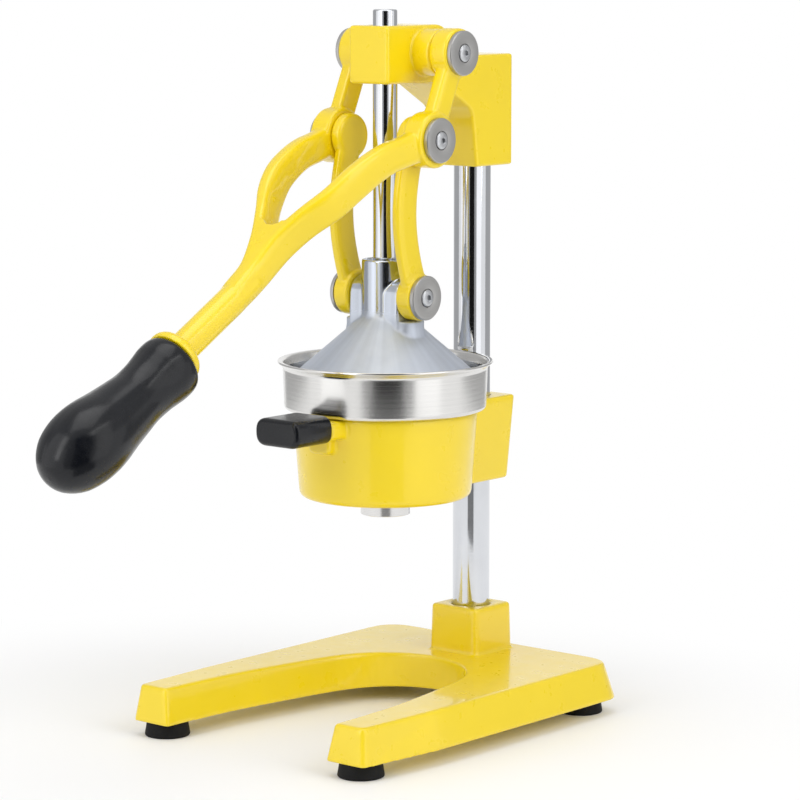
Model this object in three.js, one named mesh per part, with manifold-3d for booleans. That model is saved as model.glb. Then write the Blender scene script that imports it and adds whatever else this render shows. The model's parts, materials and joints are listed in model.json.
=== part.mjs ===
// Lever citrus press: a cast base and a plated column carry a cast head and a bowl arm.
// A long lever swings about the head, and two curved links push a bell down over the fruit.
// Millimetres. X runs to the user's right, the handle points to -Y, and Z is up from the floor.
// Every place is worked out with the column's axis at x = 0, y = 0. The last lines move the whole
// press so that the middle of its footprint is the origin.

import * as THREE from 'three';
import { mergeVertices } from 'three/addons/utils/BufferGeometryUtils.js';
import Module from 'manifold-3d';

const wasm = await Module();
wasm.setup();

// Clearances
const seatGap = 0.3; // between pieces that are screwed, pressed or stood together
const runGap = 0.3; // between pieces that turn or slide
const overrun = 2; // how far a cutting tool runs past the face that it leaves
const weld = 0.0005; // vertices closer than this are one
const facetError = 0.35; // how far a round's facets may lie inside its true circle

// Feet
const footHeight = 10;
const footRadius = 15;
const footTopRadius = 13.4;
const footEdge = 1.2;
const footSpacing = 166.8; // between the left and right feet
const footFrontReach = 211.5; // from the column's axis to the front feet
const footRearReach = 14; // from the column's axis to the rear feet
const footScrewRadius = 2.2;
const footScrewHeadRadius = 5;
const footScrewHeadHeight = 2.6;
const footScrewKey = 1.9; // half width of its hexagon hole
const footScrewKeyDepth = 1.4;
const footScrewRecess = 4.2; // depth of the pocket under the foot
const footScrewBite = 14; // length of thread in the casting

// Base casting
const legHeight = 24;
const legEndInside = 15.4; // from the foot's centre to the leg's inner side at its end
const legEndOutside = 15.8; // from the foot's centre to the leg's outer side at its end
const legEndBeyondFoot = 14.5; // how far the leg's end stands ahead of the front foot's centre
const legFlare = 6.8; // extra width on the outer side behind the kink
const legKinkBack = 66; // from the leg's end to the kink
const baseRearBeyondFoot = 21; // how far the casting reaches behind the rear foot's centre
const archToColumn = 33; // from the column's axis forward to the arch between the legs
const endDraft = 3.5;
const innerDraft = 4.4;
const outerDraft = 2.9;
const flareDraft = 4.2; // extra draft behind the kink
const legEndCorner = 5;
const baseRearCorner = 22;
const baseEdge = 1.8; // rounding along the top edge
const towerHeight = 32;
const towerHalf = 19.8;
const towerDraft = 1.1;
const towerCorner = 4.6;
const towerEdge = 2;
const towerMouth = 1.1; // chamfer where the column enters
const boltRadius = 5;
const boltHeadRadius = 8.5;
const boltHeadHeight = 5;
const boltWasherRadius = 11;
const boltWasherHeight = 1.6;
const boltPocketDepth = 8;
const socketFloor = 4; // metal left between the bolt pocket and the column

// Column
const columnRadius = 12.5;
const columnWall = 2.5;
const plugLength = 34;
const columnEdge = 0.8;

// Head casting
const headSocketDepth = 66; // how much of the column sits inside
const headHalf = 20;
const headRear = 18; // from the column's axis back
const headCap = 8; // metal over the column's end
const headFrontLow = 19.6; // from the column's axis forward, at the bottom
const headFrontHigh = 24.4; // the same at the foot of the gusset
const gussetFoot = 38; // height of the gusset's lower end above the casting's bottom
const gussetBehindPivot = 10.7; // from the head pivot back to where the gusset meets the nose
const noseHalf = 16.35;
const noseBeyondRod = 17; // from the rod's axis to the front of the nose
const noseDepth = 37.4;
const noseTopRise = 20.6; // nose top above the block's top
const headPivotBehindRod = 21.3; // from the rod's axis back
const headPivotRise = 77; // above the casting's bottom
const headBossRadius = 15.2;
const headEdge = 1.8;
const setScrewRadius = 4;
const setScrewLength = 4.2;
const setScrewSocket = 2; // half width of its hexagon hole
const headScrewInset = 20; // from the ends of the socket to the two set screws

// Guide rod and the bush that it slides in
const rodRadius = 8;
const rodProud = 10.2; // rod above the nose with the lever down
const rodEdge = 1.2;
const bushWall = 1.9;
const rodBushRecess = 1;

// Bowl arm casting
const bowlRise = 86; // from the top of the base tower to the bottom of the bowl
const bowlHeight = 57.5;
const bowlTopRadius = 60.6;
const bowlTaper = 4.2; // how much smaller its radius is at the bottom
const bowlWall = 4;
const bowlFloor = 4.5;
const bowlCorner = 4.5;
const bowlDrainGap = 3.2; // between the spout and the hole in the bowl's floor
const clampTopHalf = 22.4;
const clampBottomHalf = 19.2;
const clampTopRear = 20.2;
const clampBottomRear = 16.6;
const clampCorner = 4;
const clampEdge = 1.4;
const clampScrewInset = 13;
const lugHalf = 17.6;
const lugThickness = 12.4;
const lugBeyondBowl = 12.6;
const ribHalf = 9;
const ribDrop = 10.5;
const ribBeyondBowl = 6.4;
const lugCorner = 5;

// Side grip
const sideGripHalf = 18.5;
const sideGripThickness = 18;
const sideGripLength = 33.5;
const sideGripFlat = 0.6; // half of the flat on its side
const sideGripEdge = 3.6;
const sideGripBelowRim = 4.7; // its middle below the bowl's rim
const studRadius = 4;
const studInLug = 14;
const studInGrip = 22;

// Juice cup
const sheet = 1.2; // thickness of the pressed steel
const cupBeyondBowl = 5.6; // how far its shoulder stands out over the bowl's rim
const cupFlare = 0.9; // how much wider it is under the rim
const cupToColumn = 6.9; // space between its rim and the column
const cupDepth = 29; // from under the rolled rim to the shoulder
const rimReach = 3.5; // how far the rolled rim stands out
const rimThickness = 3;
const funnelDrop = 12;
const funnelAboveFloor = 8.3; // from the bowl's floor to the funnel's lower end
const spoutRadius = 16.3;
const spoutBelowBowl = 12.3;
const cupCorner = 3;

// Strainer with its reamer
const strainerThickness = 2;
const strainerSkirt = 7;
const reamerRadius = 41;
const reamerHeight = 41;
const reamerRibs = 12;
const reamerRibDepth = 2.6;
const reamerWall = 2.6;
const slotCount = 12;
const slotWidth = 3.4;
const slotMargin = 4.45; // from a slot's ends to the reamer and to the plate's edge

// Bell casting
const bellToCup = 5.4; // between its skirt and the cup's wall
const bellSkirt = 6;
const bellWall = 4;
const bellConeRise = 38; // from the top of the skirt to the foot of the neck
const bellOverStrainer = 13.4; // skirt's lower edge above the strainer plate
const neckRadius = 15.3;
const neckAboveCone = 37.3;
const neckLip = 3.1; // metal left round the counterbore
const neckCounterboreDepth = 3;
const earRadius = 12.4;
const earBeyondNeck = 5.4;
const earInset = 6.5; // how deep the ear's root sits inside the neck
const earEdge = 1;
const pivotAboveCone = 13.8; // bell pivot above the foot of the neck
const padHalf = 12;
const padFlat = 0.5; // half of the flat on its end
const padEdge = 1.2;
const padBeyondNeck = 13;
const padHeight = 12;
const padBelowCone = 1.7; // pad top below the foot of the neck
const hubThickness = 7;
const hubFloor = 3; // metal under the rod
const bellEdge = 1.2;
const neckScrewRadius = 3;
const neckScrewBelowTop = 9;

// Pivots
const pivotScrewRadius = 3;
const pivotBushWall = 2.6;
const washerRadius = 14.45;
const washerThickness = 3;
const washerBevel = 0.8;
const washerPocketGap = 1; // round the screw's head
const washerPocketDepth = 1.5;
const screwHeadRadius = 5.6;
const screwHeadHeight = 2.6;
const screwSocket = 2.1; // half width of its hexagon hole
const screwSocketDepth = 1.5;
const headPivotBite = 11; // length of thread in the head
const bellPivotToRod = 1.7; // from the screws' ends in the bell to the rod

// Links
const linkEyeStep = 2.1; // eye's outer face outwards from the body
const linkLength = 102.38; // between its two pivots
const linkEyeRadius = 15;
const linkBodyInset = 2.4; // body set outwards from the eye's inner face
const linkBodyThickness = 7;
const linkWidth = 19.6;
const linkBulge = 12;
const linkDomeEdge = 3;
const linkBossStep = 0.8; // upper boss's outer face outwards from the body
const linkEdge = 1.4;

// Lever
const armLength = 60; // from the head pivot to the middle pivot
const armRestAngle = THREE.MathUtils.degToRad(24.1); // forward of straight down
const headEyeThickness = 14.3;
const headEyeRadius = 16;
const middleBossStep = 1.1; // thicker than the head's eye by this
const middleBossRadius = 18;
const armOutset = 0.7; // arm's outer side inwards from the eye's outer face
const armWidth = 16.4;
const armInset = 3.2; // arm's inner side outwards from the eye's inner face
const eyeEdge = 2;
const handleAngle = THREE.MathUtils.degToRad(30.4); // below the horizontal
const handleReach = 227; // from the middle pivot to the collar's rear face
const handleDrop = 8.4; // the handle's axis passes this far under the middle pivot
const stemRadius = 9.3;
const forkHalfHeight = 10;
const forkHalfWidth = 6.6;
const forkArch = 15.8;
const collarRadius = 18;
const collarThickness = 5;
const collarFillet = 5;
const collarEdge = 1;
const tangRadius = 6;
const tangLength = 82;

// Lever grip, a turned shape: one length and one largest radius
const leverGripLength = 121.7;
const leverGripRadius = 24.9;

// Shares, chosen by hand
// The inner side of a leg: share of the half gap, share of the way from the end to the arch
const archShares = [
  [1, 0], [0.985, 0.16], [0.95, 0.34], [0.86, 0.56], [0.745, 0.77],
  [0.6, 0.885], [0.38, 0.96], [0.18, 0.99], [0, 1],
];
// A fork arm: share of the handle's reach, of half the spread, of the arch, of the drop to the
// handle's axis, of its height and of its width
const forkShares = [
  [0, 1, 0, 0, 1.05, 1.05], [0.097, 0.956, 0.43, 0.14, 1, 1], [0.162, 0.931, 0.766, 0.23, 0.98, 0.98],
  [0.228, 0.895, 0.956, 0.33, 0.98, 0.98], [0.3, 0.831, 1, 0.43, 1, 0.98],
  [0.38, 0.68, 0.864, 0.54, 1.02, 0.9],
  [0.459, 0.44, 0.734, 0.66, 1.02, 0.76], [0.544, 0.21, 0.475, 0.78, 0.98, 0.68],
  [0.638, 0.04, 0.14, 0.91, 0.92, 0.8], [0.73, 0, 0.05, 1, 0.86, 0.9],
];
// The lever grip: share of its length, share of its largest radius
const gripShares = [
  [0, 0.725], [0.01, 0.815], [0.03, 0.878], [0.063, 0.918], [0.1, 0.905], [0.145, 0.847], [0.211, 0.774],
  [0.302, 0.754], [0.384, 0.798], [0.507, 0.883], [0.606, 0.968], [0.688, 1], [0.77, 0.976],
  [0.844, 0.895], [0.893, 0.79], [0.938, 0.637], [0.971, 0.464], [0.992, 0.25], [1, 0],
];
// The reamer's side: share of its radius, share of its height
const reamerShares = [[1, 0], [0.94, 0.28], [0.76, 0.56], [0.48, 0.82], [0.16, 1]];
// The hollow under the reamer: share of its own radius, share of the reamer's height
const hollowShares = [[1, 0], [0.92, 0.24], [0.5, 0.68], [0, 0.84]];
// The back of the nose: share of the way to its crown, share of its rise above the block
const noseBackShares = [[0.72, 0.42], [0.86, 0.8]];
const ribFadeShare = 1.15; // the reamer's ribs fade out at its foot
const archSteps = 14;
const forkSteps = 11;
const linkSteps = 8;
const earSteps = 8;
const bevelSteps = 2;
const hexagon = 6; // sides
const boxSteps = 3; // to a rounded corner
const baseCornerSteps = 4;
const gripCornerSteps = 4;
const padCornerSteps = 5;
const sectionSides = 12; // round a swept section
const softCorners = 2.6; // sections between an oval (2) and a box
const squareCorners = 6;
const roundShare = 1 - Math.SQRT1_2; // of a rounding's radius, where its middle lies
const domeHeightShare = 0.45; // straight part of a button head
const domeRadiusShare = 0.72; // flat top of a button head

// Places that follow from the sizes
const footX = footSpacing / 2;
const legTop = footHeight + legHeight;
const legEndY = -(footFrontReach + legEndBeyondFoot);
const baseRearY = footRearReach + baseRearBeyondFoot;
const towerTop = legTop + towerHeight;
const columnBottom = footHeight + boltPocketDepth + socketFloor + seatGap;
const bowlBottom = towerTop + bowlRise;
const bowlTop = bowlBottom + bowlHeight;
const bowlBottomRadius = bowlTopRadius - bowlTaper;
const clampScrewHeights = [bowlBottom + clampScrewInset, bowlTop - clampScrewInset];
const cupFootRadius = bowlTopRadius + cupBeyondBowl;
const cupRadius = cupFootRadius + cupFlare;
const rimRadius = cupRadius + rimReach;
const rodY = -(columnRadius + cupToColumn + rimRadius);
const lugFront = rodY - bowlTopRadius - lugBeyondBowl;
const sideGripZ = bowlTop - sideGripBelowRim;
const sideGripBack = lugFront - seatGap;
const sideGripCorner = sideGripThickness / 2 - sideGripFlat;
const studZ = bowlTop - lugThickness / 2;
const cupShoulder = bowlTop + seatGap;
const cupRimUnder = cupShoulder + cupDepth;
const funnelBottom = bowlBottom + bowlFloor + funnelAboveFloor;
const wellBottom = funnelBottom + funnelDrop;
const wellRadius = bowlBottomRadius - bowlWall - 2 * seatGap;
const strainerBottom = cupShoulder + sheet + seatGap;
const strainerTop = strainerBottom + strainerThickness;
const strainerRadius = cupFootRadius - cupCorner - seatGap;
const slotLength = strainerRadius - reamerRadius - 2 * slotMargin;
const bellRadius = cupFootRadius - sheet - bellToCup;
const bellBottom = strainerTop + bellOverStrainer;
const bellConeTop = bellBottom + bellSkirt + bellConeRise;
const hubBottom = bellConeTop - hubThickness;
const neckTop = bellConeTop + neckAboveCone;
const bellPivot = { y: rodY, z: bellConeTop + pivotAboveCone };
const headPivotY = rodY + headPivotBehindRod;
const middlePivotY = headPivotY - armLength * Math.sin(armRestAngle);
const linkRise = Math.sqrt(linkLength ** 2 - (middlePivotY - rodY) ** 2);
const middlePivot = { y: middlePivotY, z: bellPivot.z + linkRise };
const headPivot = { y: headPivotY, z: middlePivot.z + armLength * Math.cos(armRestAngle) };
const headBottom = headPivot.z - headPivotRise;
const columnTop = headBottom + headSocketDepth - seatGap;
const headTop = headBottom + headSocketDepth + headCap;
const noseTop = headTop + noseTopRise;
const noseBottom = noseTop - noseDepth;
const noseFront = rodY - noseBeyondRod;
const gussetFront = headPivotY + gussetBehindPivot;
const headScrewHeights = [headBottom + headScrewInset, columnTop - headScrewInset];
const earFace = neckRadius + earBeyondNeck;
const linkEyeInner = earFace + runGap;
const linkBodyInner = linkEyeInner + linkBodyInset;
const linkBodyOuter = linkBodyInner + linkBodyThickness;
const linkEyeOuter = linkBodyOuter + linkEyeStep;
const linkBossOuter = linkBodyOuter + linkBossStep;
const leverInner = linkBossOuter + runGap;
const headEyeOuter = leverInner + headEyeThickness;
const middleBossOuter = headEyeOuter + middleBossStep;
const headBossFace = leverInner - runGap;
const pivotBore = pivotScrewRadius + seatGap;
const pivotBushRadius = pivotBore + pivotBushWall;
const eyeBore = pivotBushRadius + runGap;

// Materials
const finish = (color, roughness, metalness) =>
  new THREE.MeshStandardMaterial({ color, roughness, metalness });
const enamel = finish(0xf4cf10, 0.3, 0.1);
const chrome = finish(0xd9dce0, 0.12, 1);
const satinSteel = finish(0xb4b7bc, 0.35, 1);
const castAluminium = finish(0xbfc3c9, 0.32, 1);
const zincSteel = finish(0x9fa2a7, 0.35, 1);
const blackPlastic = finish(0x17181b, 0.3, 0);
const blackRubber = finish(0x1c1c1e, 0.6, 0);
const nylon = finish(0xe8e6dc, 0.5, 0);

// Solids. A geometry becomes a closed body with its faces pointing out.
function toSolid(geometry) {
  const plain = geometry.clone();
  plain.deleteAttribute('normal');
  plain.deleteAttribute('uv');
  const merged = mergeVertices(plain, weld);
  const points = merged.attributes.position.array;
  const corners = [];
  let volume = 0;
  const [a, b, c] = [new THREE.Vector3(), new THREE.Vector3(), new THREE.Vector3()];
  for (let i = 0; i < merged.index.count; i += 3) {
    const [p, q, r] = [merged.index.getX(i), merged.index.getX(i + 1), merged.index.getX(i + 2)];
    if (p === q || q === r || r === p) continue;
    corners.push(p, q, r);
    a.fromArray(points, 3 * p);
    b.fromArray(points, 3 * q);
    c.fromArray(points, 3 * r);
    volume += a.dot(b.cross(c));
  }
  if (volume < 0) corners.reverse();
  const mesh = new wasm.Mesh({
    numProp: 3,
    vertProperties: Float32Array.from(points),
    triVerts: Uint32Array.from(corners),
  });
  return new wasm.Manifold(mesh);
}

function toGeometry(solid) {
  const mesh = solid.getMesh();
  const geometry = new THREE.BufferGeometry();
  const [points, corners] = [Float32Array.from(mesh.vertProperties), Uint32Array.from(mesh.triVerts)];
  geometry.setAttribute('position', new THREE.BufferAttribute(points, 3));
  geometry.setIndex(new THREE.BufferAttribute(corners, 1));
  geometry.computeVertexNormals();
  return geometry;
}

const join = (first, ...others) => others.reduce((whole, solid) => whole.add(solid), first);
const cut = (first, ...others) => others.reduce((whole, solid) => whole.subtract(solid), first);

// The number of facets round a circle follows its radius, in fours.
const roundSides = (radius) => 4 * Math.ceil(Math.PI / Math.acos(1 - facetError / radius) / 4);

// A turned body: profile rows are [radius, distance along the axis], starting and ending on the
// axis or closing on themselves. axis names the direction that the distances run in.
function turned(profile, axis, [x, y, z], sides = 0) {
  const facets = sides || roundSides(Math.max(...profile.map((row) => row[0])));
  const geometry = new THREE.LatheGeometry(profile.map(([r, s]) => new THREE.Vector2(r, s)), facets);
  if (axis === 'x') geometry.rotateZ(-Math.PI / 2);
  if (axis === 'z') geometry.rotateX(Math.PI / 2);
  geometry.translate(x, y, z);
  return toSolid(geometry);
}

// A round bar from one distance to another, with chamfered ends where edge is given.
function bar(radius, from, to, axis, centre, edge = 0, sides = roundSides(radius)) {
  const profile = edge > 0
    ? [[0, from], [radius - edge, from], [radius, from + edge], [radius, to - edge],
      [radius - edge, to], [0, to]]
    : [[0, from], [radius, from], [radius, to], [0, to]];
  return turned(profile, axis, centre, sides);
}

function ring(outer, inner, from, to, axis, centre, edge = 0) {
  const profile = edge > 0
    ? [[inner, from], [outer - edge, from], [outer, from + edge], [outer, to - edge], [outer - edge, to],
      [inner, to], [inner, from]]
    : [[inner, from], [outer, from], [outer, to], [inner, to], [inner, from]];
  return turned(profile, axis, centre, roundSides(outer));
}

// A body stacked from rings that all hold the same number of points, with a flat cap at each end.
function stacked(rings, flat) {
  const count = rings[0].length;
  const positions = rings.flat().flatMap((point) => [point.x, point.y, point.z]);
  const index = [];
  for (let level = 0; level + 1 < rings.length; level += 1) {
    for (let i = 0; i < count; i += 1) {
      const next = (i + 1) % count;
      const [a, b] = [level * count + i, level * count + next];
      index.push(a, b, b + count, a, b + count, a + count);
    }
  }
  const last = (rings.length - 1) * count;
  const caps = THREE.ShapeUtils.triangulateShape(rings[0].map(flat), []);
  for (const [p, q, r] of caps) index.push(r, q, p);
  const lids = THREE.ShapeUtils.triangulateShape(rings[rings.length - 1].map(flat), []);
  for (const [p, q, r] of lids) index.push(last + p, last + q, last + r);
  const geometry = new THREE.BufferGeometry();
  geometry.setAttribute('position', new THREE.Float32BufferAttribute(positions, 3));
  geometry.setIndex(index);
  return toSolid(geometry);
}

const onFloor = (point) => new THREE.Vector2(point.x, point.y);
const onFront = (point) => new THREE.Vector2(point.x, point.z);
const atHeight = (outline, z) => outline.map((p) => new THREE.Vector3(p.x, p.y, z));
const atReach = (outline, y) => outline.map((p) => new THREE.Vector3(p.x, y, p.y));

// A rectangle with round corners, as a list of points. Four arcs of equal steps.
function roundedBox(left, right, low, high, corner, steps = boxSteps) {
  const centres = [[right - corner, high - corner], [left + corner, high - corner],
    [left + corner, low + corner], [right - corner, low + corner]];
  return centres.flatMap(([x, y], quarter) => Array.from({ length: steps + 1 }, (_, i) => {
    const angle = (quarter + i / steps) * Math.PI / 2;
    return new THREE.Vector2(x + corner * Math.cos(angle), y + corner * Math.sin(angle));
  }));
}

// An outline drawn in the YZ plane and given a width along X, its edges rounded.
function plate(outline, from, to, edge) {
  const shape = new THREE.Shape(outline.map(([y, z]) => new THREE.Vector2(y, z)));
  return plateOfShape(shape, from, to, edge);
}

function plateOfShape(shape, from, to, edge) {
  const geometry = new THREE.ExtrudeGeometry(shape, {
    depth: to - from - 2 * edge,
    bevelEnabled: edge > 0,
    bevelThickness: edge,
    bevelSize: edge,
    bevelOffset: -edge,
    bevelSegments: bevelSteps,
    curveSegments: earSteps,
  });
  geometry.translate(0, 0, from + edge);
  // The shape's own axes become Y and Z, and its depth becomes X.
  geometry.applyMatrix4(new THREE.Matrix4().makeBasis(
    new THREE.Vector3(0, 1, 0), new THREE.Vector3(0, 0, 1), new THREE.Vector3(1, 0, 0)));
  return toSolid(geometry);
}

// A bar that follows a path near the YZ plane. Each station has a centre, half its width across
// and half its height, and squareness shapes the section.
function swept(stations, squareness) {
  const sides = sectionSides;
  const path = stations.map((station) => station.centre);
  const rings = stations.map((station, i) => {
    const before = path[Math.max(i - 1, 0)];
    const after = path[Math.min(i + 1, path.length - 1)];
    const ahead = after.clone().sub(before).normalize();
    const up = new THREE.Vector3(1, 0, 0).cross(ahead).normalize();
    const across = ahead.clone().cross(up).normalize();
    return Array.from({ length: sides }, (_, k) => {
      const angle = (2 * Math.PI * (k + 0.5)) / sides;
      const [c, s] = [Math.cos(angle), Math.sin(angle)];
      const wide = station.halfWidth * Math.sign(c) * Math.abs(c) ** (2 / squareness);
      const tall = station.halfHeight * Math.sign(s) * Math.abs(s) ** (2 / squareness);
      return station.centre.clone().addScaledVector(across, wide).addScaledVector(up, tall);
    });
  });
  const positions = rings.flat();
  const index = [];
  for (let level = 0; level + 1 < rings.length; level += 1) {
    for (let k = 0; k < sides; k += 1) {
      const [a, b] = [level * sides + k, level * sides + ((k + 1) % sides)];
      index.push(a, b, b + sides, a, b + sides, a + sides);
    }
  }
  const foot = positions.push(path[0]) - 1;
  const tip = positions.push(path[path.length - 1]) - 1;
  const last = (rings.length - 1) * sides;
  for (let k = 0; k < sides; k += 1) {
    const next = (k + 1) % sides;
    index.push(foot, next, k, tip, last + k, last + next);
  }
  const geometry = new THREE.BufferGeometry().setFromPoints(positions);
  geometry.setIndex(index);
  return toSolid(geometry);
}

// A hexagon hole for a key, along an axis.
function keyHole(halfWidth, from, to, axis, centre) {
  const corner = halfWidth / Math.cos(Math.PI / hexagon);
  return turned([[0, from], [corner, from], [corner, to], [0, to]], axis, centre, hexagon);
}

// Everything that is made in a left and a right hand is modelled on the right and mirrored.
function mirrored(solid) {
  const geometry = toGeometry(solid);
  geometry.scale(-1, 1, 1);
  return toSolid(geometry);
}

const press = new THREE.Group();

function piece(name, solid, material) {
  const mesh = new THREE.Mesh(toGeometry(solid), material);
  mesh.name = name;
  press.add(mesh);
}

function pair(name, solid, material) {
  piece(`${name}_right`, solid, material);
  piece(`${name}_left`, mirrored(solid), material);
}

// Base casting: a U in plan, open to the front, with the column's tower on its cross piece
function baseOutline(draftShare) {
  const endY = legEndY + endDraft * draftShare;
  const rearY = baseRearY - endDraft * draftShare;
  const innerX = footX - legEndInside + innerDraft * draftShare;
  const outerX = footX + legEndOutside - outerDraft * draftShare;
  const flareX = outerX + legFlare - flareDraft * draftShare;
  const archY = -archToColumn - innerDraft * draftShare;
  const kinkY = legEndY + legKinkBack;
  const side = new THREE.SplineCurve(archShares.map(([across, along]) =>
    new THREE.Vector2(innerX * across, endY + (archY - endY) * along))).getPoints(archSteps);
  const outer = new THREE.Path();
  outer.moveTo(outerX - legEndCorner, endY);
  outer.absarc(outerX - legEndCorner, endY + legEndCorner, legEndCorner, -Math.PI / 2, 0, false);
  outer.lineTo(flareX, kinkY);
  outer.lineTo(flareX, rearY - baseRearCorner);
  outer.absarc(flareX - baseRearCorner, rearY - baseRearCorner, baseRearCorner, 0, Math.PI / 2, false);
  const right = [...side.reverse().slice(1), ...outer.getPoints(baseCornerSteps)];
  const left = right.map((p) => new THREE.Vector2(-p.x, p.y)).reverse();
  return [...right, ...left, new THREE.Vector2(0, archY)];
}

function insetOutline(outline, inset) {
  const count = outline.length;
  return outline.map((p, i) => {
    const before = p.clone().sub(outline[(i + count - 1) % count]).normalize();
    const after = outline[(i + 1) % count].clone().sub(p).normalize();
    const along = before.add(after).normalize();
    return new THREE.Vector2(p.x - along.y * inset, p.y + along.x * inset);
  });
}

// A block that narrows upwards between two outlines and has its top edge rounded.
function drafted(low, high, bottom, top, edge) {
  const share = (top - edge - bottom) / (top - bottom);
  const shoulder = low.map((p, i) => p.clone().lerp(high[i], share));
  return stacked([
    atHeight(low, bottom),
    atHeight(shoulder, top - edge),
    atHeight(insetOutline(high, edge * roundShare), top - edge * roundShare),
    atHeight(insetOutline(high, edge), top),
  ], onFloor);
}

const feet = [['front_right', footX, -footFrontReach], ['front_left', -footX, -footFrontReach],
  ['rear_right', footX, footRearReach], ['rear_left', -footX, footRearReach]];

function baseCasting() {
  const frame = drafted(baseOutline(0), baseOutline(1), footHeight, legTop, baseEdge);
  const towerFoot = towerHalf + towerDraft;
  const tower = drafted(
    roundedBox(-towerFoot, towerFoot, -towerFoot, towerFoot, towerCorner),
    roundedBox(-towerHalf, towerHalf, -towerHalf, towerHalf, towerCorner),
    footHeight + boltPocketDepth, towerTop, towerEdge);
  const bore = columnRadius + seatGap;
  const socket = turned([
    [0, columnBottom - seatGap], [bore, columnBottom - seatGap], [bore, towerTop - towerMouth],
    [bore + towerMouth, towerTop], [bore + towerMouth, towerTop + overrun], [0, towerTop + overrun],
  ], 'z', [0, 0, 0]);
  const pocket = bar(boltWasherRadius + 2 * seatGap, footHeight - overrun, footHeight + boltPocketDepth,
    'z', [0, 0, 0]);
  const boltHole = bar(boltRadius + seatGap, footHeight, columnBottom, 'z', [0, 0, 0]);
  const screwHoles = feet.map(([, x, y]) =>
    bar(footScrewRadius + seatGap, footHeight - overrun, footHeight + footScrewBite + overrun, 'z', [x, y, 0]));
  return cut(join(frame, tower), socket, pocket, boltHole, ...screwHoles);
}

function foot(x, y) {
  const height = footHeight - seatGap;
  const body = turned([
    [0, 0], [footRadius - footEdge, 0], [footRadius, footEdge], [footTopRadius, height], [0, height],
  ], 'z', [x, y, 0]);
  const pocket = bar(footScrewHeadRadius + seatGap, -overrun, footScrewRecess, 'z', [x, y, 0]);
  const hole = bar(footScrewRadius + seatGap, 0, footHeight, 'z', [x, y, 0]);
  return cut(body, pocket, hole);
}

// A screw that points up or sideways: a domed or flat head with a key hole, and a plain shank.
function screw(shank, reach, head, headHeight, key, keyDepth, axis, centre, direction) {
  const profile = [[0, reach], [shank, reach], [shank, 0], [head, 0], [head, -headHeight * domeHeightShare],
    [head * domeRadiusShare, -headHeight], [0, -headHeight]].map(([r, s]) => [r, s * direction]);
  const ends = [-headHeight - overrun, -headHeight + keyDepth].map((s) => s * direction);
  return cut(turned(profile, axis, centre, roundSides(shank)), keyHole(key, ...ends, axis, centre));
}

function footScrew(x, y) {
  const seat = footScrewRecess - seatGap;
  return screw(footScrewRadius, footHeight + footScrewBite - seat, footScrewHeadRadius, footScrewHeadHeight,
    footScrewKey, footScrewKeyDepth, 'z', [x, y, seat], 1);
}

function columnBolt() {
  const seat = footHeight + boltPocketDepth - boltWasherHeight - 2 * seatGap;
  const head = turned([
    [0, seat - boltHeadHeight], [boltHeadRadius, seat - boltHeadHeight], [boltHeadRadius, seat], [0, seat],
  ], 'z', [0, 0, 0], hexagon);
  const shank = bar(boltRadius, seat - boltHeadHeight / 2, columnBottom + plugLength - overrun, 'z', [0, 0, 0]);
  return join(head, shank);
}

function columnWasher() {
  const top = footHeight + boltPocketDepth - seatGap;
  return ring(boltWasherRadius, boltRadius + seatGap, top - boltWasherHeight, top, 'z', [0, 0, 0]);
}

function columnPlug() {
  const outer = columnRadius - columnWall - seatGap;
  return ring(outer, boltRadius + seatGap, columnBottom, columnBottom + plugLength, 'z', [0, 0, 0], columnEdge);
}

const columnTube = () =>
  ring(columnRadius, columnRadius - columnWall, columnBottom, columnTop, 'z', [0, 0, 0], columnEdge);

// Head casting: a block on the column, a gusset, and a nose that carries the pivots and the rod
function headCasting() {
  const block = plate([
    [headRear, headBottom], [headRear, headTop], [-headFrontLow, headTop],
    [gussetFront, noseTop - noseTopRise / 2], [gussetFront, noseBottom],
    [-headFrontHigh, headBottom + gussetFoot], [-headFrontLow, headBottom],
  ], -headHalf, headHalf, headEdge);
  const crown = headPivot.y + headBossRadius;
  const nose = plate([
    [noseFront, noseBottom], [gussetFront, noseBottom], [-headFrontHigh, noseBottom],
    [-headFrontLow, headTop - headEdge],
    ...noseBackShares.map(([back, up]) => [crown * back, headTop + noseTopRise * up]),
    [crown, noseTop], [noseFront, noseTop],
  ], -noseHalf, noseHalf, headEdge);
  const bosses = bar(headBossRadius, -headBossFace, headBossFace, 'x', [0, headPivot.y, headPivot.z], headEdge);
  const socket = bar(columnRadius + seatGap, headBottom - overrun, columnTop + seatGap, 'z', [0, 0, 0]);
  const rodHole = bar(rodRadius + runGap + bushWall + seatGap, noseBottom - overrun, noseTop + overrun,
    'z', [0, rodY, 0]);
  const screwHoles = headScrewHeights.map((z) =>
    bar(setScrewRadius + seatGap, 0, headRear + overrun, 'y', [0, 0, z]));
  const pivotHoles = [-1, 1].map((hand) => bar(pivotBore,
    ...[headBossFace - headPivotBite, headBossFace + overrun].map((s) => s * hand), 'x',
    [0, headPivot.y, headPivot.z]));
  return cut(join(block, nose, bosses), socket, rodHole, ...screwHoles, ...pivotHoles);
}

// A set screw that presses on the column from behind.
function setScrew(z) {
  const from = columnRadius + seatGap / 2;
  const body = bar(setScrewRadius, from, from + setScrewLength, 'y', [0, 0, z], seatGap);
  return cut(body, keyHole(setScrewSocket, from + setScrewLength / 2, from + setScrewLength + overrun,
    'y', [0, 0, z]));
}

function rodBush() {
  const inner = rodRadius + runGap;
  return ring(inner + bushWall, inner, noseBottom + rodBushRecess, noseTop - rodBushRecess, 'z', [0, rodY, 0]);
}

function guideRod() {
  return bar(rodRadius, hubBottom + hubFloor + seatGap, noseTop + rodProud, 'z', [0, rodY, 0], rodEdge);
}

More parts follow.
